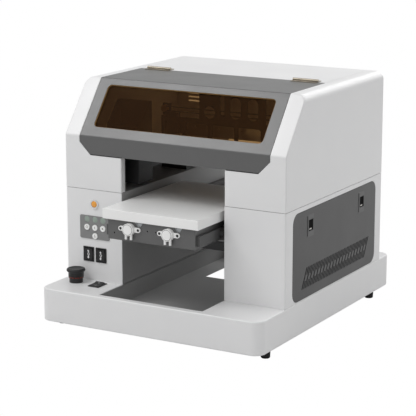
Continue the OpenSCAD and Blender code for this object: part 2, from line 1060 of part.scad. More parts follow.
module motor_pulley() {
    color("#b9a27c") {
        pulley(belt_x1);
        bar_y(belt_x1, belt_z, 2.95, belt_y - 7, belt_y + 19);
    }
}

// ---------------------------------------------------------------- print carriage

// Head box in front, arm under the gantry plate, and the block on the linear rail
module print_carriage() {
    x0 = carriage_x0;
    x1 = -carriage_park;
    y0 = carriage_y0;
    y1 = y0 + carriage_d;
    arm_x = x0 + 30;
    arm_z = seam_z + 22;
    back = plate_y + 16;
    color("#1d1d1d")
        difference() {
            union() {
                span([x0, y0, carriage_z0], [x1, y1, seam_z + 180]);
                span([x0, y1, arm_z], [arm_x, back, arm_z + 32]);
                span([x0, back - 8, arm_z], [arm_x, back + 2, belt_z - belt_r - belt_t - 0.5]);
                difference() {
                    span([x0, plate_y + 14, rail_x_z - 16], [x0 + 44, plate_y + 28, rail_x_z + 16]);
                    span([x0 - 1, plate_y + 19.7, rail_x_z - 7.9], [x0 + 45, plate_y + 29, rail_x_z + 7.9]);
                }
            }
            span([x0 + 3, y0 + 3, carriage_z0 - 1], [x1 - 3, y1 - 3, seam_z + 176]);
            along_x(x0 - 1, x1 + 1)
                polygon([
                    [y0 - 1, seam_z + 130], [y0 - 1, seam_z + 181], [y0 + 42, seam_z + 181]
                ]);
        }
}

// Print head that shows below the carriage
module print_head() {
    x0 = carriage_x0 + 6;
    y0 = carriage_y0 + 5;
    color("#4a4a4a") {
        span([x0, y0, carriage_z0 - 2], [x0 + 36, y0 + 44, carriage_z0 + 26]);
        span([x0 + 8, y0 + 10, carriage_z0 - 3], [x0 + 28, y0 + 34, carriage_z0 - 2]);
    }
}

// Ultraviolet curing lamp beside the print head, with cooling fins
module uv_lamp() {
    x0 = -carriage_park - 32;
    y0 = carriage_y0 + 5;
    color("#9a9a9a") {
        span([x0, y0, carriage_z0 - 1], [x0 + 28, y0 + 44, carriage_z0 + 12]);
        for (i = [0:6])
            span([x0 + i * 4.2, y0, carriage_z0 + 12], [x0 + i * 4.2 + 2, y0 + 44, carriage_z0 + 34]);
    }
}

// ---------------------------------------------------------------- inside the towers

module ink_bottles() {
    r = 17;
    color("#d8d8d0")
        for (i = [0:5])
            translate([-220, front_y + 60 + i * 40, deck_z]) {
                cylinder(r = r, h = 92);
                translate([0, 0, 92])
                    cylinder(r = 9, h = 14);
            }
}

module power_supply() {
    color("#b0b4b8")
        difference() {
            span([150, 40, deck_z], [248, 216, deck_z + 44]);
            for (i = [0:9])
                span([160, 56 + i * 15, deck_z + 40], [238, 62 + i * 15, deck_z + 45]);
        }
}

module control_board() {
    color("#2f5d3a") {
        span([140, -180, deck_z + 8], [246, -30, deck_z + 9.6]);
        for (x = [145, 241], y = [-175, -35])
            translate([x, y, deck_z])
                cylinder(r = 3, h = 8);
        for (p = [[160, -150], [200, -150], [160, -90], [200, -90]])
            translate([p[0], p[1], deck_z + 9.6])
                cube([24, 24, 8]);
    }
}

// Mains inlet with a rocker switch opening beside its three contacts
module power_inlet() {
    y1 = back_y + 3;
    color("#181818")
        difference() {
            union() {
                span([190 - 27, back_y, deck_z + 33], [190 + 27, y1, deck_z + 67]);
                span([190 - 24, back_y - 28, deck_z + 36.2], [190 + 24, back_y, deck_z + 63.8]);
            }
            span([190 - 20, back_y - 16, deck_z + 41], [190 + 7, y1 + 1, deck_z + 59]);
            span([190 + 11, back_y - 2, deck_z + 42], [190 + 21, y1 + 1, deck_z + 58]);
        }
}

fan_at = [-190, deck_z + 100];

// Frame of the cooling fan on the left tower's back, with its hub arms
module fan_frame() {
    y1 = back_y - sheet;
    y0 = y1 - 25;
    color("#1a1a1a")
        difference() {
            along_y(y0, y1)
                round_rect([fan_at[0] - 40, fan_at[1] - 40], [fan_at[0] + 40, fan_at[1] + 40], 4);
            difference() {
                bar_y(fan_at[0], fan_at[1], 37, y0 - 1, y1 + 1);
                bar_y(fan_at[0], fan_at[1], 15, y0 - 1, y0 + 3);
                for (a = [45:90:315])
                    translate([fan_at[0], 0, fan_at[1]])
                        rotate([0, a, 0])
                            span([10, y0 - 1, -2], [38, y0 + 3, 2]);
            }
            for (x = [-36, 36], z = [-36, 36])
                bar_y(fan_at[0] + x, fan_at[1] + z, 2.2, y0 - 1, y1 + 1);
            bar_y(fan_at[0], fan_at[1], 2.05, y0 - 2, y1);
        }
}

// Fan wheel: hub, seven tilted blades and its shaft
module fan_rotor() {
    y1 = back_y - sheet;
    color("#262626")
        translate([fan_at[0], 0, fan_at[1]]) {
            bar_y(0, 0, 15, y1 - 20, y1 - 3);
            bar_y(0, 0, 2, y1 - 25, y1 - 19);
            for (k = [0:6])
                rotate([0, k * 360 / 7, 0])
                    translate([24.5, y1 - 11.5, 0])
                        rotate([35, 0, 0])
                            cube([22, 1.6, 15], center = true);
        }
}

// ---------------------------------------------------------------- assembly

base_shell();
channel_liner();
tower_shells();
hood_shell();
hood_rear_panel();
lower_rear_panels();
rubber_feet();
cover_gasket();
hinge_fixed_leaves();
front_cover();
cover_window();
hinge_moving_leaves();
left_side_panel();
right_side_panel();
latch_plates();
front_latch_button();
rear_latch_button();
keypad_plate();
indicator_lenses();
left_key();
middle_key();
right_key();
lower_key();
power_button_ring();
power_button();
switch_bezels();
bed_rocker();
lift_rocker();
main_rocker();
stop_base();
stop_plunger();
stop_head();
y_rails();
y_screw();
y_motor();
bed_box();
bed_runners();
lift_motor();
lift_rotor_nut();
bed_plate();
lift_posts();
pump_housings();
left_pump_rotor();
right_pump_rotor();
gantry_frame();
x_beam();
x_rail();
x_motor();
x_belt();
idler_pulley();
motor_pulley();
print_carriage();
print_head();
uv_lamp();
ink_bottles();
power_supply();
control_board();
power_inlet();
fan_frame();
fan_rotor();
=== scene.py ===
# %% [markdown]
# # A desktop flatbed UV printer
# The machine prints on flat things. A bed slides and lifts in a channel between two towers, a
# gantry carries the print head across it, and a folded hood with a tinted window keeps the
# ultraviolet light in. Almost everything you see is folded and powder coated sheet steel.
# This lesson builds the visible surfaces round a fixed frame of CAD parts: the frame holds every
# size and every moving body, so each piece is worked out from it and rides on one of its bodies.

# %% Load the frame
import json
import math

import bmesh
import bpy
import numpy as np
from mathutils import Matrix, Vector
from mathutils.bvhtree import BVHTree
from mathutils.geometry import delaunay_2d_cdt


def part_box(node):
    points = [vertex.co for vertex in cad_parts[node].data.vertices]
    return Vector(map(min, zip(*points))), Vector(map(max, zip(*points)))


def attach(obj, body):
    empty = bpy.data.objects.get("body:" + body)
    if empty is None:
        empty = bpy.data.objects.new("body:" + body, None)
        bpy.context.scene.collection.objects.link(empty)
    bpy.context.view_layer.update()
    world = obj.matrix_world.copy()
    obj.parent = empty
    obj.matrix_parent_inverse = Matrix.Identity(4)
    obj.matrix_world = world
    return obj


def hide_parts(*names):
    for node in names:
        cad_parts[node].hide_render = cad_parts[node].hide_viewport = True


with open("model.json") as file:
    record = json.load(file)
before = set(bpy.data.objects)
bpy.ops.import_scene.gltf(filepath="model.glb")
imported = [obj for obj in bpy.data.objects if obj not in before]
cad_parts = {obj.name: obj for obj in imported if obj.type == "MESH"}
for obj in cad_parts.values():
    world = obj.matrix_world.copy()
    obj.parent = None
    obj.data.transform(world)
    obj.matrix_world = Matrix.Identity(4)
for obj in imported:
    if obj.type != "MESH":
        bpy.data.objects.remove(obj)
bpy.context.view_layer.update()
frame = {"nodes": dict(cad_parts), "record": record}
record = frame["record"]
body_of = {node: body for body, nodes in record["behaviour"]["bodies"].items() for node in nodes}
slot_of = {row["node"]: row["material_slot"] for row in record["subparts"]}

# %% [markdown]
# Shapes are worked out in millimetres, the unit on a sheet metal drawing, and turned to metres
# once, when a mesh is made. The places all come from the boxes of the CAD nodes.

# %% Sizes from the frame
MM = 0.001


def box_mm(node):
    """Lowest and highest corner of a CAD node, in millimetres."""
    low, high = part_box(node)
    return np.array(low) / MM, np.array(high) / MM


def middle_of(node):
    """Centre of a CAD node, and half its size, in millimetres."""
    low, high = box_mm(node)
    return (low + high) / 2, (high - low) / 2


SHEET = 2.0
base_low, base_high = box_mm("base_shell")
tower_low, tower_high = box_mm("tower_shells")
hood_low, hood_high = box_mm("hood_shell")
cover_low, cover_high = box_mm("front_cover")
liner_low, _ = box_mm("channel_liner")
panel_low, panel_high = box_mm("left_side_panel")
half_width = base_high[0]
deck = base_high[2]
front = tower_low[1]
back = tower_high[1]
top = hood_high[2]
seam = (tower_high[2] + hood_low[2]) / 2
channel = 122.0
fold = seam + 113
slope_back = front + 86
slope_angle = math.atan2(top - fold, slope_back - front)
print("width", 2 * half_width, "deck", deck, "seam", seam, "top", top)

# %% [markdown]
# ## Camera
# A product view: a long lens, far off, a little above the machine and to its right, so that its
# uprights stay upright and almost parallel.

# %% Camera
eye = Vector((1.6756, -3.0042, 1.0134))
camera_data = bpy.data.cameras.new("product_view")
camera_data.sensor_width = 36
camera_data.lens = 142
camera_data.clip_end = 200
camera = bpy.data.objects.new("product_view", camera_data)
camera.location = eye
camera.rotation_euler = (math.radians(77.09), 0, math.radians(29.65))
bpy.context.scene.collection.objects.link(camera)
bpy.context.scene.camera = camera
print("camera", tuple(round(value, 3) for value in eye), "lens", camera_data.lens, "mm")

# %% [markdown]
# ## Tools for materials
# A finish is a small tree of shader nodes. One helper adds a node, sets it and links it. Another
# turns the hex colours that designers write to the linear light that a renderer adds up.

# %% Material helpers
# The colour sockets of a Mix node share their names with others, so they go by number.
MIX_A, MIX_B, MIX_RESULT = 6, 7, 2


def srgb(code):
    """Hex colour to linear: (c / 12.92) in the darks, ((c + 0.055) / 1.055) ** 2.4 above them."""
    c = np.array([int(code[i:i + 2], 16) for i in (1, 3, 5)]) / 255
    linear = np.where(c <= 0.04045, c / 12.92, ((c + 0.055) / 1.055) ** 2.4)
    return (*linear.tolist(), 1.0)


def add_node(tree, kind, inputs=None, **settings):
    """Add one shader node with its settings; an input is a value, or a socket to link from."""
    made = tree.nodes.new(kind)
    for name, value in settings.items():
        setattr(made, name, value)
    for name, value in (inputs or {}).items():
        if isinstance(value, bpy.types.NodeSocket):
            tree.links.new(value, made.inputs[name])
        else:
            made.inputs[name].default_value = value
    return made


def new_finish(name):
    """An empty material, with its tree and its Object coordinates in metres."""
    made = bpy.data.materials.new(name)
    made.use_nodes = True
    made.node_tree.nodes.clear()
    place = add_node(made.node_tree, "ShaderNodeTexCoord").outputs["Object"]
    return made, made.node_tree, place


def close_finish(tree, **inputs):
    """End a tree in one Principled shader; an underscore in a name stands for a space."""
    named = {name.replace("_", " "): value for name, value in inputs.items()}
    shader = add_node(tree, "ShaderNodeBsdfPrincipled", named)
    add_node(tree, "ShaderNodeOutputMaterial", {"Surface": shader.outputs["BSDF"]})


def per_mm(size):
    """Scale of a noise whose features are about this many millimetres."""
    return 1 / (size * MM)


def noise(tree, place, size, detail=2.0):
    """A noise from 0 to 1 with features of a size in millimetres."""
    return add_node(tree, "ShaderNodeTexNoise", {"Vector": place, "Scale": per_mm(size),
                                                 "Detail": detail}).outputs["Fac"]


def blend(tree, share, dark, light):
    """The colour between two hex codes that a share from 0 to 1 picks."""
    return add_node(tree, "ShaderNodeMix", {0: share, MIX_A: srgb(dark), MIX_B: srgb(light)},
                    data_type="RGBA").outputs[MIX_RESULT]


def vary(tree, share, low, high, start=0.0, end=1.0):
    """A value that runs from low to high while the share runs from start to end."""
    return add_node(tree, "ShaderNodeMapRange", {"Value": share, "From Min": start, "From Max": end,
                                                 "To Min": low, "To Max": high}).outputs["Result"]


def relief(tree, height, strength, depth):
    """Bent normals of a relief with a depth in millimetres."""
    return add_node(tree, "ShaderNodeBump", {"Height": height, "Strength": strength,
                                             "Distance": depth * MM}).outputs["Normal"]


print("white enamel in linear light:", [round(v, 3) for v in srgb("#e4e4e2")])

# %% [markdown]
# ## Powder coat
# The housing is powder coated steel: polyester powder, charged, sprayed and baked at 180 degrees.
# It melts into a satin skin with a faint orange peel, waves one or two millimetres across and a
# few hundredths deep, which breaks up reflections and softens every highlight. A flat colour
# would look like paper. So a fine noise bends the light, a slow one shifts the tone a little, as
# handling and uneven film do, and the same slow noise moves the gloss.

# %% Powder coat


def powder_coat(name, light, dark, roughness, peel=2.4, depth=0.03, coat=0.0):
    """Baked polyester powder: satin, with orange peel of a size and depth in millimetres."""
    made, tree, place = new_finish(name)
    slow = noise(tree, place, 70, 3.0)
    close_finish(tree, Base_Color=blend(tree, slow, dark, light),
                 Roughness=vary(tree, slow, roughness - 0.04, roughness + 0.04, 0.3, 0.7),
                 Normal=relief(tree, noise(tree, place, peel), 0.35, depth),
                 Coat_Weight=coat, Coat_Roughness=0.3)
    return made


finish = {
    "white_enamel": powder_coat("White powder coat, baked", "#e9e9e9", "#e4e4e5", 0.38),
    "grey_enamel": powder_coat("Grey powder coat, baked", "#5c5c5c", "#575757", 0.4, coat=0.4),
    # The same grey powder coat painted darker: painted shade for the side panels and the bed runners.
    "shaded_grey_enamel": powder_coat("Grey powder coat, darkened as painted shade", "#4b4b4b", "#474747", 0.45, coat=0.2),
    # The liner's grey is painted lighter than its own paint: painted light for the light reaching into
    # the channel.
    "grey_liner": powder_coat("Grey powder coat, fine texture, painted light", "#a6a6a6", "#9e9e9e", 0.5, 1.4, 0.05),
    "black_enamel": powder_coat("Black powder coat, satin", "#2a2624", "#221f1d", 0.5),
}
print("powder coats:", len(finish))

# %% [markdown]
# ## Plastics and rubber
# Switches, keys, pump heads and the fan are injection moulded. The mould is spark eroded, which
# leaves a fine even grain, so a moulded part is never a mirror. The same recipe serves white
# acetal, black polyamide and rubber; only the tone, the gloss and the grain size change.

# %% Moulded parts


def moulded(name, light, dark, roughness, grain=0.6, depth=0.02, ior=1.5, **more):
    """Injection moulded: a close grain of the mould's size and depth in millimetres."""
    made, tree, place = new_finish(name)
    tone = blend(tree, noise(tree, place, 22), dark, light)
    fine = add_node(tree, "ShaderNodeTexVoronoi", {"Vector": place, "Scale": per_mm(grain)})
    close_finish(tree, Base_Color=tone, Roughness=roughness, IOR=ior,
                 Normal=relief(tree, fine.outputs["Distance"], 0.25, depth), **more)
    return made


finish.update(
    black_plastic=moulded("Black polyamide, moulded", "#1c1c1d", "#151516", 0.42),
    white_plastic=moulded("White acetal, moulded", "#f8f8f7", "#f0f0ef", 0.32, ior=1.48),
    keypad_grey=moulded("Grey polyester overlay, matt", "#888888", "#808080", 0.55, 0.4, 0.01),
    rubber=moulded("Black rubber, moulded", "#1a1a1a", "#121212", 0.75, 0.9, 0.03, 1.52),
    motor_black=moulded("Black lacquered motor steel", "#232325", "#1b1b1d", 0.4, 0.8, 0.02),
    # The orange lens has a faint emission: a painted glow.
    orange_lens=moulded("Orange polycarbonate lens, painted glow", "#e3a24a", "#dd963a", 0.25, 1.2, 0.01, 1.58,
                        Emission_Color=srgb("#e08a20"), Emission_Strength=0.12),
    green_lens=moulded("Grey green polycarbonate lens", "#96a299", "#8c9990", 0.28, 1.2, 0.01, 1.58),
    dash_orange=moulded("Orange red pad print", "#c8431c", "#b83a16", 0.5),
    mark_white=moulded("White pad print", "#ececec", "#e0e0e0", 0.5),
    latch_black=moulded("Black rubberised plastic", "#070707", "#050505", 0.8, 0.8, 0.02, 1.2),
    latch_grey=moulded("Grey polyamide, moulded", "#686868", "#606060", 0.5),
    mark_grey=moulded("Grey pad print", "#77736a", "#6c685f", 0.5))
print("moulded finishes added, now", len(finish))

# %% [markdown]
# ## Metals
# Bare metal is a conductor, so its colour is the colour of its reflection and it has almost no
# skin of its own. What tells one from another is how it was cut. A ground rail or a turned shaft
# has fine lines along or round it, so a noise stretched in one direction gives both the relief
# and the uneven gloss. Galvanised sheet shows crystal flakes of zinc instead.

# %% Metals


def cut_metal(name, light, dark, roughness, stretch=(1, 1, 12), line=0.5, depth=0.008):
    """Ground or turned metal: lines of a width in millimetres, drawn out by the stretch."""
    made, tree, place = new_finish(name)
    drawn = add_node(tree, "ShaderNodeMapping", {
        "Vector": place, "Scale": tuple(per_mm(line) / part for part in stretch)}).outputs["Vector"]
    lines = add_node(tree, "ShaderNodeTexNoise", {"Vector": drawn, "Scale": 1.0,
                                                  "Detail": 3.0}).outputs["Fac"]
    close_finish(tree, Base_Color=blend(tree, lines, dark, light), Metallic=1.0,
                 Roughness=vary(tree, lines, roughness - 0.08, roughness + 0.08),
                 Normal=relief(tree, lines, 0.3, depth))
    return made


def flaked_zinc(name, light, dark, roughness, flake=9):
    """Hot dip galvanised sheet: crystals of about this many millimetres, each its own tone."""
    made, tree, place = new_finish(name)
    cells = add_node(tree, "ShaderNodeTexVoronoi", {"Vector": place, "Scale": per_mm(flake)})
    grey = add_node(tree, "ShaderNodeRGBToBW", {"Color": cells.outputs["Color"]}).outputs["Val"]
    close_finish(tree, Base_Color=blend(tree, grey, dark, light), Metallic=1.0,
                 Roughness=vary(tree, grey, roughness - 0.1, roughness + 0.1))
    return made


finish.update(
    steel=cut_metal("Ground steel", "#c9c7c3", "#b2afa9", 0.3, (12, 1, 1)),
    chrome=cut_metal("Chromed brass ring", "#e9e9e8", "#dcdcda", 0.16, (1, 1, 1), 2.0, 0.002),
    brass=cut_metal("Turned brass", "#cda65a", "#b78f45", 0.3, (1, 1, 1), 0.6),
    raw_aluminium=cut_metal("Extruded aluminium, anodised", "#bfc0c2", "#aeb0b2", 0.38, (30, 1, 1), 0.7),
    zinc_sheet=flaked_zinc("Galvanised sheet steel", "#bfc2c4", "#9fa3a6", 0.42),
    hinge_steel=cut_metal("Nickel plated steel, warm", "#bdb5a6", "#857c6e", 0.34, (8, 1, 1)))
print("metals added, now", len(finish))

# %% [markdown]
# ## Bed, window, inks and circuit board
# The bed plate is ground aluminium under a white enamel: even, a little glossier than the
# housing, so its far end mirrors the dark hood. The window is cast acrylic, tinted amber to stop
# ultraviolet light. It is clear, so it is a glass in the shader, and the tint is its colour.
# The ink bottles stand in a row, so the ink's colour steps with the place along the row.

# %% Special finishes


def bed_enamel(name):
    """White enamel on ground aluminium: satin, a fine even tooth, and a slow change of tone."""
    made, tree, place = new_finish(name)
    close_finish(tree, Base_Color=blend(tree, noise(tree, place, 90), "#efefee", "#f6f6f5"),
                 Roughness=0.34, Normal=relief(tree, noise(tree, place, 1.2, 3.0), 0.2, 0.02))
    return made


def tinted_acrylic(name, tint, roughness):
    """Cast acrylic: clear, index 1.49, tinted, with an anti glare coat and faint casting waves."""
    made, tree, place = new_finish(name)
    close_finish(tree, Base_Color=srgb(tint), Roughness=roughness, IOR=1.49, Transmission_Weight=1.0,
                 Specular_IOR_Level=0.3, Specular_Tint=srgb("#d89858"),
                 Normal=relief(tree, noise(tree, place, 60, 1.0), 0.1, 0.05))
    return made


def banded(name, axis, steps, start, pitch, roughness, grain):
    """Step k along an axis begins at start + k * pitch millimetres; a fine mottle keeps it alive."""
    made, tree, place = new_finish(name)
    split = add_node(tree, "ShaderNodeSeparateXYZ", {"Vector": place})
    share = vary(tree, split.outputs[axis], 0.0, 1.0, start * MM, (start + pitch * len(steps)) * MM)
    ramp = add_node(tree, "ShaderNodeValToRGB", {"Fac": share})
    ramp.color_ramp.interpolation = "CONSTANT"
    row = ramp.color_ramp.elements
    while len(row) < len(steps):
        row.new(1.0)
    for k, code in enumerate(steps):
        row[k].position = k / len(steps)
        row[k].color = srgb(code)
    shade = vary(tree, noise(tree, place, grain), 0.85, 1.1)
    tone = add_node(tree, "ShaderNodeVectorMath", {0: ramp.outputs["Color"], "Scale": shade},
                    operation="SCALE")
    close_finish(tree, Base_Color=tone.outputs["Vector"], Roughness=roughness)
    return made


bottle_low, bottle_high = box_mm("ink_bottles")
bottle_pitch = (bottle_high[1] - bottle_low[1] - 34) / 5
_, board_high = box_mm("control_board")
finish["bed_white"] = bed_enamel("White enamel on ground aluminium")
finish["amber_acrylic"] = tinted_acrylic("Amber acrylic, cast", "#a07c50", 0.01)
# Opaque lighter amber for the strip in the window's cut-out: a painted highlight for the light along the
# acrylic's edges.
finish["amber_edge_highlight"] = moulded("Amber acrylic edge, painted highlight", "#a98552", "#94703f", 0.4, 1.0, 0.02, 1.49)
finish["bottle"] = banded("Ink in polyethylene bottles", "Y",
                          ["#1d6fa5", "#a3265f", "#d8b92c", "#232323", "#e8e6df", "#dcd6c8"],
                          bottle_low[1] + 17 - bottle_pitch / 2, bottle_pitch, 0.4, 6)
finish["circuit_green"] = banded("Solder mask and chip resin", "Z", ["#2d6a3c", "#2d6a3c", "#1b1b1c"],
                                 board_high[2] - 24, 8, 0.35, 3)
print("finishes:", len(finish))

# %% [markdown]
# ## Dressing the CAD parts
# Parts whose CAD shape is already right keep it, and get the finish that their record names.

# %% Finish every CAD node
for node, part in frame["nodes"].items():
    part.data.materials.clear()
    part.data.materials.append(finish[slot_of[node]])
print("dressed", len(frame["nodes"]), "nodes")

# %% [markdown]
# ## Tools for shapes
# Sheet metal starts as a flat blank, which is cut with its holes and then folded. The shell
# pieces here are made the same way: a blank is drawn in two flat coordinates, divided into faces,
# and each of its points is then carried to its place by a formula. Turned pieces are a profile
# taken round an axis, and blocks are outlines stacked into rings.

# %% Outlines


def unit(vector):
    """The vector at length one."""
    return vector / np.linalg.norm(vector)


def rounded(corners, radii, steps=6, closed=True):
    """Outline with rounded corners, in the plane.

    At a corner P, a and b are the unit directions to its neighbours and 2h the angle between
    them. The arc of radius r touches both sides r / tan(h) from P, its centre is
    P + unit(a + b) * r / sin(h), and its points are the slerp between the two touching radii.
    """
    corners = np.asarray(corners, float)
    radii = np.broadcast_to(np.asarray(radii, float), len(corners)).copy()
    if not closed:
        radii[[0, -1]] = 0
    row = []
    neighbours = np.roll(corners, 1, 0), np.roll(corners, -1, 0)
    for point, last, following, r in zip(corners, *neighbours, radii):
        if r <= 0:
            row.append(point[None])
            continue
        a = unit(last - point)
        b = unit(following - point)
        h = math.acos(np.clip(a @ b, -1, 1)) / 2
        centre = point + unit(a + b) * r / math.sin(h)
        start = (point + a * r / math.tan(h) - centre) / r
        end = (point + b * r / math.tan(h) - centre) / r
        turn = math.pi - 2 * h
        k = np.linspace(0, 1, steps + 1)[:, None]
        arc = np.sin((1 - k) * turn) * start + np.sin(k * turn) * end
        row.append(centre + r * arc / math.sin(turn))
    return np.vstack(row)


def rectangle(x0, y0, x1, y1):
    """Corners of a rectangle, turning left."""
    return [(x0, y0), (x1, y0), (x1, y1), (x0, y1)]


def circle(x, y, r, steps=32):
    """Points of a circle: centre plus r times (cos, sin) of evenly spaced angles."""
    angle = np.linspace(0, 2 * math.pi, steps, endpoint=False)
    return np.stack([x + r * np.cos(angle), y + r * np.sin(angle)], -1)


def lengths(path):
    """Distance along a path at each of its points."""
    return np.concatenate([[0], np.cumsum(np.linalg.norm(np.diff(path, axis=0), axis=1))])


print("a rounded square has", len(rounded(rectangle(0, 0, 10, 10), 2)), "points")

# %% Flat blanks


def turns_left(loop):
    """True if the loop runs anticlockwise: half the sum of its cross products is positive."""
    x, y = loop.T
    return (x * np.roll(y, -1) - np.roll(x, -1) * y).sum() > 0


def cut_blank(outline, holes=(), fold_lines=()):
    """A flat blank as points and faces: the outline less its holes, divided along the fold lines.

    A constrained Delaunay division keeps each loop and line as edges. A face is kept when the
    outline is the only loop round it, which leaves the holes open.
    """
    loops = [np.asarray(loop, float) for loop in (outline, *holes)]
    loops = [loop if turns_left(loop) else loop[::-1] for loop in loops]
    starts = np.cumsum([0] + [len(loop) for loop in loops]).tolist()
    rings = [list(range(first, last)) for first, last in zip(starts, starts[1:])]
    ends = np.asarray(fold_lines, float).reshape(-1, 2)
    edges = (starts[-1] + np.arange(len(ends)).reshape(-1, 2)).tolist()
    points = [Vector(point) for point in np.vstack([*loops, ends])]
    made = delaunay_2d_cdt(points, edges, rings, 4, 1e-5)
    faces = [list(face) for face, origin in zip(made[2], made[5]) if list(origin) == [0]]
    return np.array([tuple(point) for point in made[0]]), faces


def level(flat, z):
    """Flat points (x, y) at a height."""
    return np.column_stack([flat, np.full(len(flat), z)])


def upright(flat, y):
    """Flat points (x, z) stood up at a depth."""
    return np.column_stack([flat[:, 0], np.full(len(flat), y), flat[:, 1]])


def sideways(flat, x):
    """Flat points (y, z) stood up at a distance to the side."""
    return np.column_stack([np.full(len(flat), x), flat])


def carried(s, along, line):
    """The two coordinates of places on a folded line, at flat distances s along it."""
    return np.interp(s, along, line[:, 0]), np.interp(s, along, line[:, 1])


def flipped(part):
    """The same part facing the other way."""
    points, faces = part
    return points, [face[::-1] for face in faces]


def mirrored(part):
    """The part's mirror image in X, with its faces turned round to stay outside."""
    points, faces = part
    return points * (-1, 1, 1), [face[::-1] for face in faces]


def skin(rings, closed=True):
    """Quads between the rings of an (m, n, 3) array: anticlockwise rings going up face out."""
    m, n = rings.shape[:2]
    i, j = np.meshgrid(np.arange(m - 1), np.arange(n if closed else n - 1), indexing="ij")
    k = (j + 1) % n
    quads = np.stack([i * n + j, i * n + k, (i + 1) * n + k, (i + 1) * n + j], -1)
    return rings.reshape(-1, 3), quads.reshape(-1, 4).tolist()


def capped(rings):
    """A closed solid of stacked rings: its skin, and one flat face at each end."""
    points, faces = skin(rings)
    m, n = rings.shape[:2]
    return points, faces + [list(range(n))[::-1], list(range((m - 1) * n, m * n))]


AXES = {"Y": np.array([[-1, 0, 0], [0, 0, 1], [0, 1, 0]]),
        "-Y": np.array([[1, 0, 0], [0, 0, -1], [0, 1, 0]]),
        "Z": np.eye(3)}


def turned(profile, centre, axis="Z", steps=48):
    """Solid of revolution: each profile point (r, h) goes round the axis at radius r and height h.

    The row of the AXES table takes the local axes to the part's: the last column is the axis.
    """
    profile = np.asarray(profile, float)
    angle = np.linspace(0, 2 * math.pi, steps, endpoint=False)
    r, h = profile[:, 0, None], profile[:, 1, None]
    height = np.broadcast_to(h, (len(profile), steps))
    rings = np.stack([r * np.cos(angle), r * np.sin(angle), height], -1)
    return skin(rings @ AXES[axis].T + np.asarray(centre, float))


def hoop(centre, axis, big, small, steps=48, around=10):
    """Ring of round wire: a circle of radius small carried round one of radius big."""
    a = np.linspace(0, 2 * math.pi, steps + 1)[:, None]
    b = np.linspace(0, 2 * math.pi, around, endpoint=False)[None, :]
    reach = big + small * np.cos(b)
    rings = np.stack([reach * np.cos(a), reach * np.sin(a), small * np.sin(b) + 0 * a], -1)
    return flipped(skin(rings @ AXES[axis].T + np.asarray(centre, float)))


print("shape tools ready")

# %% [markdown]
# A piece is one mesh object. Its points are in place already, so the object itself stays at the
# origin. Doubled points are merged, every piece rides on a body, and the CAD nodes it stands for
# are hidden. Sheet gets its wall from Solidify, and edges are broken with Bevel, as a fettler
# would: a sharp edge catches no light, and none on the real machine is sharp.

# %% Pieces


def make_piece(name, parts, like, replaces=(), material=None, outward=False):
    """Join parts, points in millimetres and faces, into one piece that rides as a CAD node does."""
    points = np.vstack([part[0] for part in parts]) * MM
    starts = np.cumsum([0] + [len(part[0]) for part in parts])
    faces = [[first + k for k in face] for (_, rows), first in zip(parts, starts) for face in rows]
    mesh = bpy.data.meshes.new(name)
    mesh.from_pydata(points.tolist(), [], faces)
    shape = bmesh.new()
    shape.from_mesh(mesh)
    bmesh.ops.remove_doubles(shape, verts=shape.verts, dist=0.005 * MM)
    if outward:
        bmesh.ops.recalc_face_normals(shape, faces=shape.faces)
    shape.to_mesh(mesh)
    shape.free()
    return place_piece(name, mesh, like, replaces, material)


def place_piece(name, mesh, like, replaces=(), material=None):
    """Put a mesh in the scene: smooth, dressed, and riding on the body of the CAD node it is like."""
    mesh.polygons.foreach_set("use_smooth", np.ones(len(mesh.polygons), bool))
    mesh.materials.clear()
    mesh.materials.append(finish[material or slot_of[like]])
    piece = bpy.data.objects.new(name, mesh)
    bpy.context.scene.collection.objects.link(piece)
    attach(piece, body_of[like])
    if replaces:
        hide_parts(*replaces)
    return piece


def break_edges(piece, width, segments=2, over=35):
    """Round every edge sharper than an angle in degrees by a width in millimetres."""
    bevel = piece.modifiers.new("broken edges", "BEVEL")
    bevel.width = width * MM
    bevel.segments = segments
    bevel.limit_method = "ANGLE"
    bevel.angle_limit = math.radians(over)
    bevel.use_clamp_overlap = True


def give_wall(piece, thickness=SHEET):
    """Thicken a sheet inwards by its gauge in millimetres."""
    wall = piece.modifiers.new("gauge", "SOLIDIFY")
    wall.thickness = thickness * MM
    wall.offset = -1
    wall.use_even_offset = True


def even_light(piece):
    """Let the large flat faces set the shading, so that they stay flat beside a bend."""
    level = piece.modifiers.new("flat faces", "WEIGHTED_NORMAL")
    level.keep_sharp = True


def soften(node, width, segments=2, material=None, over=1.6):
    """A CAD node's own shape with its edges broken: a merged copy with a small round on each.

    An edge is rounded when its faces meet at more than 35 degrees and it is longer than a limit
    in millimetres, so that the rims of small holes stay crisp.
    """
    shape = bmesh.new()
    shape.from_mesh(frame["nodes"][node].data)
    bmesh.ops.remove_doubles(shape, verts=shape.verts, dist=0.002 * MM)
    weight = shape.edges.layers.float.new("bevel_weight_edge")
    for line in shape.edges:
        corner = line.is_manifold and line.calc_face_angle(0) > math.radians(35)
        long = line.calc_length() > over * MM
        line[weight] = float(corner and long)
        line.smooth = not (corner and not long)
    mesh = bpy.data.meshes.new(f"{node}_skin")
    shape.to_mesh(mesh)
    shape.free()
    piece = place_piece(f"{node}_skin", mesh, node, (node,), material)
    break_edges(piece, width, segments)
    piece.modifiers["broken edges"].limit_method = "WEIGHT"
    even_light(piece)
    return piece


print("piece tools ready")

# %% [markdown]
# ## Base
# The base is a tray turned upside down: one sheet whose sides are folded down and whose lower edge
# is folded in. Its corners are rounded twice, in plan and along the folds. A cube with a bevel
# would round both alike, so rings of one outline, moved in as they go round each fold, are
# stacked instead. The deck is a flat blank with the channel, the stop button and the switch cut out.

# %% Base
CORNER = 23.0
LIP = 30.0
BEND = 3.0
stop_middle, _ = middle_of("stop_base")
switch_middle, _ = middle_of("main_rocker")


def base_ring(inset, height):
    """The base's outline, moved in and set at a height; its corner radius shrinks with it."""
    corners = rectangle(*(base_low[:2] + inset), *(base_high[:2] - inset))
    return level(rounded(corners, max(CORNER - inset, 4), 8), height)


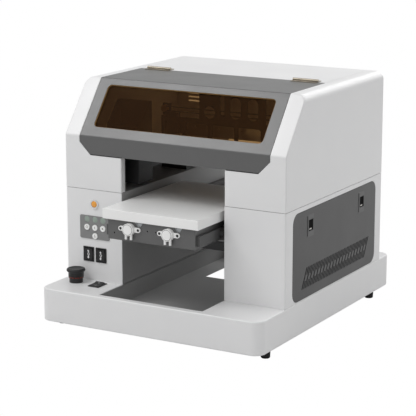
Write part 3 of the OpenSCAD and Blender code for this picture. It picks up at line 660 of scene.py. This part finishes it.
quarter = np.linspace(0, math.pi / 2, 6)
lower_fold = [(BEND * (1 - math.sin(a)), base_low[2] + BEND * (1 - math.cos(a))) for a in quarter]
upper_fold = [(BEND * (1 - math.cos(a)), deck - BEND * (1 - math.sin(a))) for a in quarter]
profile = [(LIP, base_low[2]), *lower_fold, *upper_fold]
base_sides = skin(np.stack([base_ring(inset, height) for inset, height in profile]))
deck_flat, deck_faces = cut_blank(
    base_ring(BEND, deck)[:, :2],
    [rectangle(-channel, liner_low[1] + SHEET, channel, back),
     circle(*stop_middle[:2], 11.2),
     rectangle(*(switch_middle[:2] - (12, 16)), *(switch_middle[:2] + (12, 16)))])
base = make_piece("base_skin", [base_sides, (level(deck_flat, deck), deck_faces)], "base_shell",
                  ("base_shell",))
give_wall(base)
break_edges(base, 0.4, 1)
even_light(base)
print("base:", len(base.data.polygons), "faces, corner radius", CORNER, "mm")

# %% [markdown]
# ## Towers
# Each tower wears one sheet, folded once round its outer front corner. In the flat it is a
# rectangle with every opening already punched: the big window for the side panel and, on the left
# tower, the holes for keys, button and rocker switches. The fold carries flat distance s to a
# place on the plan line, which runs along the front, round the bend and down the side.

# %% Towers
TOWER_BEND = 3.5
KEYS = ("left_key", "middle_key", "right_key", "lower_key")
ROCKERS = ("bed_rocker", "lift_rocker")
plan = rounded([(channel, front), (half_width, front), (half_width, back)], TOWER_BEND, 6, closed=False)
along = lengths(plan)
tower_folds = [[(s, deck), (s, tower_high[2])] for s in along[1:-1]]


def tower_skin(holes):
    """The right tower's folded sheet: flat (s, z) goes to the plan line at s and height z."""
    flat, faces = cut_blank(rectangle(0, deck, along[-1], tower_high[2]), holes, tower_folds)
    return np.column_stack([*carried(flat[:, 0], along, plan), flat[:, 1]]), faces


def on_side(y):
    """Flat distance of a place on the tower's side."""
    return along[-1] - (back - y)


def on_front(node):
    """Flat distance and height of the middle of a control on the left tower."""
    (x, _, z), _ = middle_of(node)
    return -x - channel, z


panel_corners = rectangle(on_side(panel_low[1]), panel_low[2], on_side(panel_high[1]), panel_high[2])
panel_hole = rounded(panel_corners, 22, 8)
control_holes = [circle(*on_front(node), 6.8, 24) for node in KEYS]
control_holes.append(circle(*on_front("power_button_ring"), 8.0, 24))
for node in ROCKERS:
    s, z = on_front(node)
    control_holes.append(rectangle(s - 12, z - 14.7, s + 12, z + 14.7))
tower_parts = [tower_skin([panel_hole]), mirrored(tower_skin([panel_hole, *control_holes]))]
towers = make_piece("tower_skins", tower_parts, "tower_shells", ("tower_shells",))
give_wall(towers)
break_edges(towers, 0.4, 1)
even_light(towers)
print("towers: blank of", round(along[-1]), "by", round(tower_high[2] - deck), "mm,",
      2 + len(control_holes), "holes")

# %% [markdown]
# ## Hood
# The hood is two sheets welded and ground: a roof, folded with a large radius along both upper
# sides, and a face in two planes, upright and sloping. The slope cuts through the round of the
# roof, so its outline must follow that curve. Both are cut as blanks along the same points, joined,
# and the weld seams are then rounded with Bevel before the sheet gets its thickness.

# %% Hood
ROOF_BEND = 18.0
low_edge = hood_low[2]
opening = cover_high[0] + 1
hinge_line = cover_high[1] + 1
cover_foot = cover_low[2] - 1
CHAMFER = 26.0
cut = CHAMFER + 1 - math.tan(math.radians(22.5))
roof_line = rounded([(-half_width, low_edge), (-half_width, fold), (-half_width, top),
                     (half_width, top), (half_width, fold), (half_width, low_edge)],
                    [0, 0, ROOF_BEND, ROOF_BEND, 0, 0], 10, closed=False)
roof_along = lengths(roof_line)
middle = roof_along[-1] / 2


def front_edge(z):
    """Where the face plane lies in Y at height z: upright to the fold, then back along the slope."""
    return front + np.maximum(0, z - fold) * (slope_back - front) / (top - fold)


edge = np.column_stack([roof_along, front_edge(roof_line[:, 1])])
left_edge, right_edge = edge[:len(edge) // 2], edge[len(edge) // 2:]
notch = [(middle - opening, slope_back), (middle - opening, hinge_line),
         (middle + opening, hinge_line), (middle + opening, slope_back)]
roof_outline = np.vstack([left_edge, notch, right_edge, [(roof_along[-1], back), (0, back)]])
roof_slots = [rectangle(x - 0.8, hinge_line + 1, x + 0.8, hinge_line + 187)
              for x in (middle - opening + 1.5, middle + opening - 1.5)]
roof_folds = [[(s, y), (s, back)] for s, y in edge[1:-1]]
roof_flat, roof_faces = cut_blank(roof_outline, roof_slots, roof_folds)
x, z = carried(roof_flat[:, 0], roof_along, roof_line)
roof = (np.column_stack([x, roof_flat[:, 1], z]), roof_faces)


def on_slope(x, t, depth=0.0):
    """Place on the sloping face: x across, t up the slope from the fold, and a depth below it."""
    x, t, depth = np.broadcast_arrays(x, t, depth)
    return np.column_stack([x, front + t * math.cos(slope_angle) + depth * math.sin(slope_angle),
                            fold + t * math.sin(slope_angle) - depth * math.cos(slope_angle)])


right_curve = roof_line[len(roof_line) // 2:-1][::-1]
slope_outline = np.vstack([[(opening, 0)], np.column_stack([
    right_curve[:, 0], (right_curve[:, 1] - fold) / math.sin(slope_angle)]),
    [(opening, (top - fold) / math.sin(slope_angle))]])
slope_flat, slope_faces = cut_blank(slope_outline)
slope_cheek = (on_slope(slope_flat[:, 0], slope_flat[:, 1]), slope_faces)
cheek_flat, cheek_faces = cut_blank([
    (channel, low_edge), (half_width, low_edge), (half_width, fold), (opening, fold),
    (opening, cover_foot + cut), (opening - cut, cover_foot), (channel, cover_foot)])
front_cheek = (upright(cheek_flat, front), cheek_faces)
RETURN = 15.0
return_flat, return_faces = cut_blank(rectangle(front, low_edge, front + RETURN, cover_foot))
cheek_return = flipped((sideways(return_flat, channel), return_faces))
right_parts = [slope_cheek, front_cheek, cheek_return]
hood = make_piece("hood_skin", [roof, *right_parts, *map(mirrored, right_parts)], "hood_shell",
                  ("hood_shell",))
break_edges(hood, 2.5, 3, 30)
give_wall(hood)
even_light(hood)
print("hood:", len(hood.data.polygons), "faces before the welds are rounded")

# %% [markdown]
# ## Front cover
# The grey cover is one sheet folded three times: a stiffening lip under the apron, a soft fold
# from apron to slope, and a tighter one to the top. The window is punched in the slope. The flat
# measure s runs up the folded line, so the same formula carries every hole and corner.

# %% Front cover
LIP_HALF = channel - 6
cover_corners = np.array([(front + 12, cover_low[2]), (front, cover_low[2]), (front, fold),
                          (slope_back, top), (cover_high[1], top)])
FOLD_STEPS = 8
cover_line = rounded(cover_corners, [0, 1.0, 7.0, 3.0, 0], FOLD_STEPS, closed=False)
cover_along = lengths(cover_line)
lip_end = cover_along[FOLD_STEPS + 1]
fold_end = 2 * (FOLD_STEPS + 1)
slope_start = cover_along[fold_end] - np.linalg.norm(cover_line[fold_end] - cover_corners[2])
cut_top = lip_end + CHAMFER - 1
side = cover_high[0]
cover_outline = rounded(
    [(-LIP_HALF, 0), (LIP_HALF, 0), (LIP_HALF, lip_end), (side - 25, lip_end), (side, cut_top),
     (side, cover_along[-1]), (-side, cover_along[-1]), (-side, cut_top), (-side + 25, lip_end),
     (-LIP_HALF, lip_end)],
    [2, 2, 0, 1.5, 1.5, 1, 1, 1.5, 1.5, 0], 3)
WINDOW_HALF, WINDOW_LOW, WINDOW_HIGH, WINDOW_CORNER = 199.0, 23.0, 125.0, 10.0


def window_outline(grow, start=0.0, steps=8):
    """The window's outline in flat measure, grown on every side; the slope begins at start."""
    low, high = start + WINDOW_LOW - grow, start + WINDOW_HIGH + grow
    corners = rectangle(-WINDOW_HALF - grow, low, WINDOW_HALF + grow, high)
    return rounded(corners, WINDOW_CORNER + grow, steps)


cover_folds = [[(-w, s), (w, s)] for s, w in
               zip(cover_along[1:-1], [LIP_HALF] * (FOLD_STEPS + 1) + [side] * (2 * FOLD_STEPS + 2))]
cover_flat, cover_faces = cut_blank(cover_outline, [window_outline(0, slope_start, 6)], cover_folds)
cover_part = (np.column_stack([cover_flat[:, 0], *carried(cover_flat[:, 1], cover_along, cover_line)]),
              cover_faces)
cover = make_piece("front_cover_skin", [cover_part], "front_cover", ("front_cover",))
give_wall(cover)
break_edges(cover, 0.4, 2)
even_light(cover)
print("cover: blank", round(2 * side), "by", round(cover_along[-1]), "mm")

# %% [markdown]
# ## Window
# The pane is a sheet of cast acrylic, a little larger than its opening, behind the cover. A strip
# of opaque, lighter amber lines the cut-out: a painted highlight for the light along the acrylic's
# edges. Both are outlines on the sloping plane, stacked into rings by their depth below the cover's
# face.

# %% Window pane and its edge strip


def window_ring(grow, depth):
    """The window's outline on the slope, grown on every side, at a depth below the cover's face."""
    flat = window_outline(grow)
    return on_slope(flat[:, 0], flat[:, 1], depth)


EDGE, STRIP, OVERLAP, PANE = 4.2, 0.9, 8.0, 3.0
strip_section = [(-0.05, EDGE), (-0.05, 0.5), (-STRIP, 0.5), (-STRIP, EDGE), (-0.05, EDGE)]
pane_section = [(OVERLAP - 0.4, EDGE + PANE), (OVERLAP, EDGE + PANE - 0.4), (OVERLAP, EDGE + 0.4),
                (OVERLAP - 0.4, EDGE)]
strip_rings, pane_rings = (np.stack([window_ring(*place) for place in section])
                           for section in (strip_section, pane_section))
# The edge strip is a painted highlight: a bright amber rim round the window.
strip = make_piece("window_edge_highlight", [skin(strip_rings)], "cover_window", material="amber_edge_highlight",
                   outward=True)
pane = make_piece("window_pane", [capped(pane_rings)], "cover_window", ("cover_window",), outward=True)
for clear in (strip, pane):
    even_light(clear)
print("pane:", 2 * (WINDOW_HALF + OVERLAP), "mm wide and", PANE, "mm thick")

# %% [markdown]
# ## Plates, blocks and panels
# Many parts already have their true outline in CAD, and only lack what a deburring tool, a mould
# or a laser leaves: a small round on every edge. Each is a copy of its own CAD shape with that
# round added. Plates are broken by half a millimetre, mouldings and cast blocks by more.

# %% Edges of the CAD parts
ROUNDS = dict(
    left_side_panel=0.5, right_side_panel=0.5, latch_plates=0.5, front_latch_button=1.0,
    rear_latch_button=1.0, keypad_plate=0.4, switch_bezels=0.7, bed_rocker=0.5, lift_rocker=0.5,
    main_rocker=0.5, bed_plate=0.8, bed_box=0.5, bed_runners=0.5, channel_liner=0.4,
    lower_rear_panels=0.4, hood_rear_panel=0.4, hinge_fixed_leaves=0.25, hinge_moving_leaves=0.25,
    gantry_frame=0.4, x_beam=0.5, print_carriage=1.0, fan_frame=0.8, power_inlet=0.5, power_supply=0.5,
    rubber_feet=1.5, pump_housings=0.35, x_rail=0.4, uv_lamp=0.5, print_head=0.4, stop_base=0.6)
# The side panels and bed runners take the darkened grey, which is painted shade.
SPECIAL = dict(
    latch_plates="latch_grey", bed_runners="shaded_grey_enamel", bed_box="grey_enamel",
    front_latch_button="latch_black", rear_latch_button="latch_black", left_side_panel="shaded_grey_enamel",
    right_side_panel="shaded_grey_enamel", hinge_fixed_leaves="hinge_steel", hinge_moving_leaves="hinge_steel")
for node, width in ROUNDS.items():
    soften(node, width, 3 if width > 0.9 else 2, material=SPECIAL.get(node))
for node in ("front_latch_button", "rear_latch_button"):
    low, high = box_mm(node)
    outline = rounded(rectangle(low[1] + 4, low[2] + 2.2, high[1] - 6, low[2] + 5.2), 0.6, 3)
    flat, faces = cut_blank(outline)
    make_piece(f"{node}_tab", [(sideways(flat, high[0] + 0.05), faces)], node, material="steel")
print("rounded the edges of", len(ROUNDS), "parts, and set two steel tabs")

# %% [markdown]
# ## Printed marks
# The marks on keys and switches are pad printed: a soft silicone pad presses the ink on, so it
# follows the surface whatever its shape. Here a flat mark is drawn, and each of its points is
# carried straight onto the part until it meets it. The marks are plain signs: arrows, a ring, a bar.

# %% Pad printing
FAR, INK = 1e3, 0.06


def printed(name, node, outlines, material, facing="-Y"):
    """Flat outlines in the two coordinates across the facing axis, laid on a node's surface."""
    source = frame["nodes"][node]
    corners = [source.matrix_world @ vertex.co for vertex in source.data.vertices]
    surface = BVHTree.FromPolygons(corners, [list(face.vertices) for face in source.data.polygons])
    parts = []
    for outline, holes in outlines:
        flat, faces = cut_blank(outline, holes)
        starts = level(flat, FAR) if facing == "Z" else upright(flat, -FAR)
        way = Vector((0, 0, -1) if facing == "Z" else (0, 1, 0))
        landed = [surface.ray_cast(Vector(start * MM), way)[0] for start in starts]
        parts.append(([np.array(place) / MM - np.array(way) * INK for place in landed], faces))
    return make_piece(name, parts, node, material=material)


def band(x, y, r, width):
    """A printed ring: its circle, and the smaller circle left out."""
    return circle(x, y, r, 24), [circle(x, y, r - width, 24)]


def arrow(x, y, size, way):
    """An arrow head, way +1 up or -1 down, from a broad foot to a point."""
    shaft, foot = size * 0.4, y - way * size
    return [(x - size, y), (x - shaft, y), (x - shaft, foot), (x + shaft, foot),
            (x + shaft, y), (x + size, y), (x, y + way * size * 1.2)], []


for node in ROCKERS:
    (x, _, z), _ = middle_of(node)
    signs = [arrow(x, z + 6.2, 2.9, 1), band(x, z, 2.8, 1.0), arrow(x, z - 6.2, 2.9, -1)]
    printed(f"{node}_signs", node, signs, "mark_white")
(x, y, _), _ = middle_of("main_rocker")
signs = [(rectangle(x - 0.5, y + 4.2, x + 0.5, y + 8), []), band(x, y - 6, 1.9, 0.7)]
printed("main_rocker_signs", "main_rocker", signs, "mark_white", "Z")
KEY_SIGNS = {
    "left_key": lambda x, z: [band(x, z, 2.6, 0.8)],
    "middle_key": lambda x, z: [(rectangle(x - 0.6, z - 2.6, x + 0.6, z + 2.6), [])],
    "right_key": lambda x, z: [([(x - 1.7, z - 2.3), (x + 2.5, z), (x - 1.7, z + 2.3)], [])],
    "lower_key": lambda x, z: [(rectangle(x - 0.6, z - 0.6, x + 0.6, z + 2.6), []),
                               band(x, z - 1.2, 1.9, 0.7)],
}
for node, signs in KEY_SIGNS.items():
    (x, _, z), _ = middle_of(node)
    printed(f"{node}_sign", node, signs(x, z), "mark_grey")
print("marks on", 3 + len(KEY_SIGNS), "controls")

# %% [markdown]
# ## Turned controls
# Round controls come off a lathe or out of a round mould, so each is a profile taken round its
# axis. The lamps and the power button are domed lenses, whose dome gathers a small highlight. The
# stop button has a broad head with a rolled rim and a dished top, which a palm can strike.

# %% Lenses, button and stop


def dome(centre, r, depth, rise):
    """A lens facing forward: a short wall, then the cap h = rise * sqrt(1 - (q / r)^2) at radius q."""
    part = np.linspace(0, math.pi / 2, 8)
    cap = [(r * math.cos(a), depth - rise + rise * math.sin(a)) for a in part]
    return turned([(r, 0), *cap], centre, "-Y")


(_, y, lens_z), (_, half_depth, lens_r) = middle_of("indicator_lenses")
lens_parts = [dome((middle_of(key)[0][0], y + half_depth, lens_z), lens_r, 2 * half_depth, 0.9)
              for key in KEYS[:3]]
make_piece("indicator_domes", lens_parts, "indicator_lenses", ("indicator_lenses",), outward=True)
(x, y, z), (r, half_depth, _) = middle_of("power_button")
make_piece("power_button_dome", [dome((x, y + half_depth, z), r, 2 * half_depth, 1.4)], "power_button",
           ("power_button",), outward=True)

(x, y, _), (head_r, _, _) = middle_of("stop_head")
(_, _, foot), (_, _, crown) = box_mm("stop_head")
_, (skirt_r, _, _) = middle_of("stop_plunger")
neck = skirt_r + 0.4
seat = box_mm("stop_plunger")[1][2] + 0.3
head = [(0, seat), (skirt_r + 0.15, seat), (skirt_r + 0.15, foot), (neck, foot),
        (neck + 0.3, crown - 8.2), (head_r - 1.6, crown - 6.6), (head_r - 0.4, crown - 5.8),
        (head_r, crown - 4.8), (head_r, crown - 3.6), (head_r - 0.5, crown - 1.9),
        (head_r - 1.7, crown - 0.6), (head_r - 3.4, crown), (head_r - 5, crown - 0.4),
        (head_r - 6.5, crown - 1.3), (head_r - 9, crown - 1.9), (6, crown - 2.3), (0, crown - 2.4)]
make_piece("stop_head_turned", [turned(head, (x, y, 0), steps=64)], "stop_head", ("stop_head",),
           outward=True)
skirt = [(skirt_r - 1, deck + 9.6), (skirt_r - 0.3, deck + 9.6), (skirt_r, deck + 10),
         (skirt_r, foot + 1.1), (skirt_r - 1, foot + 1.1), (skirt_r - 1, deck + 9.6)]
make_piece("stop_skirt", [turned(skirt, (x, y, 0), steps=64)], "stop_plunger", outward=True)
dash = np.linspace(-0.1, 0.1, 4)
dashes = []
for k in range(18):
    a = dash + k * math.pi / 9
    arc = np.column_stack([np.cos(a), np.sin(a)]) * (skirt_r + 0.05) + (x, y)
    rows = [level(arc, height) for height in (deck + 11.2, deck + 13.4)]
    dashes.append(skin(np.stack(rows), closed=False))
make_piece("stop_dashes", dashes, "stop_plunger", material="dash_orange")
print("stop head", round(2 * head_r), "mm across,", len(dashes), "dashes")

# %% [markdown]
# ## Pump trim
# The two peristaltic pumps on the bed box circulate the white ink. Each head is clipped to a small
# sheet bracket that hangs from the box's upper edge. A thin grey ring round each rotor cap is painted
# shade for the dark line round the disc, and black domed discs in the ears are painted shade for the
# dark of the ear holes.

# %% Pump trim
box_low, box_high = box_mm("bed_box")
pump_low, _ = box_mm("pump_housings")
PUMP_XS, PUMP_Z = (-49.8, 41.9), 233.7
trim = {"bracket": [], "ring": [], "screw": []}
hung, lowest = box_high[2] - 0.4, box_high[2] - 10.5
# Each pump gets a grey ring round its rotor cap, painted shade for the dark line round the disc, and
# black discs in its ear holes, painted shade for the dark of the holes.
for x in PUMP_XS:
    flat, faces = cut_blank([(x + 12, hung), (x + 20, lowest), (x + 25, lowest), (x + 31, hung)])
    trim["bracket"].append((upright(flat, box_low[1] - 0.5), faces))
    trim["ring"].append(hoop((x, pump_low[1] + 1.2, PUMP_Z), "-Y", 10.7, 0.45))
    for side in (-1, 1):
        centre = (x + side * 20.8, box_low[1] - 2.2, PUMP_Z)
        trim["screw"].append(turned([(2.9, 0), (2.9, 1.0), (2.4, 1.5), (0, 1.6)], centre, "-Y", 24))
bracket = make_piece("pump_brackets", trim["bracket"], "bed_box", material="zinc_sheet")
give_wall(bracket, 0.5)
# The rings and the ear discs are painted shade.
make_piece("pump_disc_shade_rings", trim["ring"], "pump_housings", material="latch_grey", outward=True)
make_piece("pump_ear_hole_shade", trim["screw"], "pump_housings", material="black_plastic", outward=True)
print("pump trim:", sum(map(len, trim.values())), "small parts")

# %% [markdown]
# ## Back of the machine
# The fan is guarded by rings of welded wire. Pan head screws hold the rear panels along their
# edges.

# %% Fan guard and screws
(fan_x, _, fan_z), _ = middle_of("fan_frame")
hub = (fan_x, back - 1.0, fan_z)
WIRE = 0.9
guard = [hoop(hub, "Y", r, WIRE) for r in (34.5, 26, 17.5, 9)]
rod_points, rod_faces = turned([(0, 8.5), (WIRE, 8.6), (WIRE, 35), (0, 35.1)], (0, 0, 0), "Z", 12)
for turn in (45, 135, 225, 315):
    a = math.radians(turn)
    across = np.array([math.cos(a), 0, math.sin(a)])
    basis = np.stack([np.cross([0, 1, 0], across), [0, 1, 0], across])
    guard.append((rod_points @ basis + hub, rod_faces))
make_piece("fan_guard", guard, "fan_frame", material="chrome", outward=True)
screws = []
for x in (-half_width + 9, -channel - 8, channel + 8, half_width - 9):
    for z in (deck + 14, (deck + seam) / 2, seam - 14):
        pan_head = [(3, 0), (3, 0.5), (2.3, 1.3), (1.1, 1.6), (0, 1.65)]
        screws.append(turned(pan_head, (x, back - 0.2, z), "Y", 20))
make_piece("rear_screws", screws, "lower_rear_panels", material="steel", outward=True)
print("guard of", len(guard), "wires,", len(screws), "rear screws")

# %% [markdown]
# ## Studio
# A product is set on a white sweep under large soft lamps. A big one from the upper left front is
# mirrored in the sloping window, a second fills the right side from low down, and a third lights
# the top. The sweep itself is drawn pure white for the camera alone, while the machine sees an
# ordinary pale floor, so that white paint still reads grey against the white ground. A polarising
# filter would keep the mirror image of the big lamp off the window; here the lamp leaves it out.

# %% Floor and backdrop


def glow(name, strength):
    """A surface that only gives out white light."""
    made, tree, _ = new_finish(name)
    close_finish(tree, Base_Color=srgb("#000000"), Roughness=1.0, Specular_IOR_Level=0.0,
                 Emission_Color=srgb("#ffffff"), Emission_Strength=strength)
    return made


def paper(name):
    """Matt pale paper with a slow change of tone."""
    made, tree, place = new_finish(name)
    tone = vary(tree, noise(tree, place, 250, 1.0), 0.68, 0.72)
    close_finish(tree, Base_Color=tone, Roughness=0.9, Specular_IOR_Level=0.1)
    return made


def stage_piece(name, points, faces, material):
    """One object of the studio: points in metres, left out of the machine's own pieces."""
    mesh = bpy.data.meshes.new(name)
    mesh.from_pydata(np.asarray(points).tolist(), [], faces)
    mesh.materials.append(material)
    made = bpy.data.objects.new(name, mesh)
    bpy.context.scene.collection.objects.link(made)
    return made


def sheet_of(size, height):
    """A level square, size metres each way from the middle, at a height."""
    return level(np.array(rectangle(-size, -size, size, size)), height), [[0, 1, 2, 3]]


REACH, SUNK = 14, -0.002
floor = stage_piece("studio_floor", *sheet_of(8, 0.0), paper("Pale floor paper"))
ground = stage_piece("white_ground", *sheet_of(REACH, SUNK), glow("White ground, lit", 1.0))
turn = np.linspace(0, 2 * math.pi, 49)[:-1]
rise = np.linspace(0, math.pi / 2, 13)
ball = REACH * np.stack([np.outer(np.cos(rise), np.cos(turn)), np.outer(np.cos(rise), np.sin(turn)),
                         np.outer(np.sin(rise), np.ones_like(turn))], -1) - (0, 0, 0.003)
sky = stage_piece("white_backdrop", *flipped(skin(ball)), ground.data.materials[0])
bright = stage_piece("ground_seen_through_acrylic", *sheet_of(1.6, SUNK), glow("Bright ground", 3.0))
for unseen in (floor, bright):
    unseen.visible_camera = False
for opaque in (ground, sky):
    opaque.visible_transmission = False
for screen in (ground, sky, bright):
    screen.visible_diffuse = False
    screen.visible_glossy = False
    screen.visible_shadow = False
    screen.visible_volume_scatter = False
print("floor and backdrop ready")

# %% Lamps
world = bpy.data.worlds.new("soft_room")
world.use_nodes = True
air = world.node_tree.nodes["Background"]
air.inputs["Color"].default_value = (1.0, 1.0, 1.0, 1.0)
air.inputs["Strength"].default_value = 0.55
bpy.context.scene.world = world
target = Vector((0.0, 0.0, 0.3))


def softbox(name, direction, distance, width, height, power):
    """A rectangular lamp that hangs in a direction from the machine and faces it."""
    lamp = bpy.data.lights.new(name, "AREA")
    lamp.shape = "RECTANGLE"
    lamp.size, lamp.size_y = width, height
    lamp.energy = power
    box = bpy.data.objects.new(name, lamp)
    away = Vector(direction).normalized()
    box.location = target + away * distance
    box.rotation_euler = away.to_track_quat("Z", "Y").to_euler()
    box.visible_transmission = False
    bpy.context.scene.collection.objects.link(box)
    return box


# metres away, metres wide and high, and watts
key = softbox("key_lamp", (-0.48, -0.43, 0.77), 3.4, 1.1, 1.1, 27)
softbox("front_lamp", (-0.18, -0.72, 0.72), 3.4, 1.3, 1.3, 14)
softbox("left_lamp", (-0.85, -0.30, 0.50), 3.2, 1.3, 1.3, 3)
softbox("side_lamp", (0.95, -0.25, 0.25), 3.0, 2.0, 2.0, 2.5)
softbox("top_lamp", (0.1, 0.25, 1.0), 3.0, 2.5, 2.5, 7)
softbox("rim_lamp", (0.2, 0.85, 0.5), 3.2, 2.6, 1.6, 38)
polarised = bpy.data.collections.new("not_lit_by_key")
for clear in (pane, strip):
    polarised.objects.link(clear)
for row in polarised.collection_objects:
    row.light_linking.link_state = "EXCLUDE"
key.light_linking.receiver_collection = polarised
bpy.context.scene.view_settings.view_transform = "Standard"
print("lamps ready")
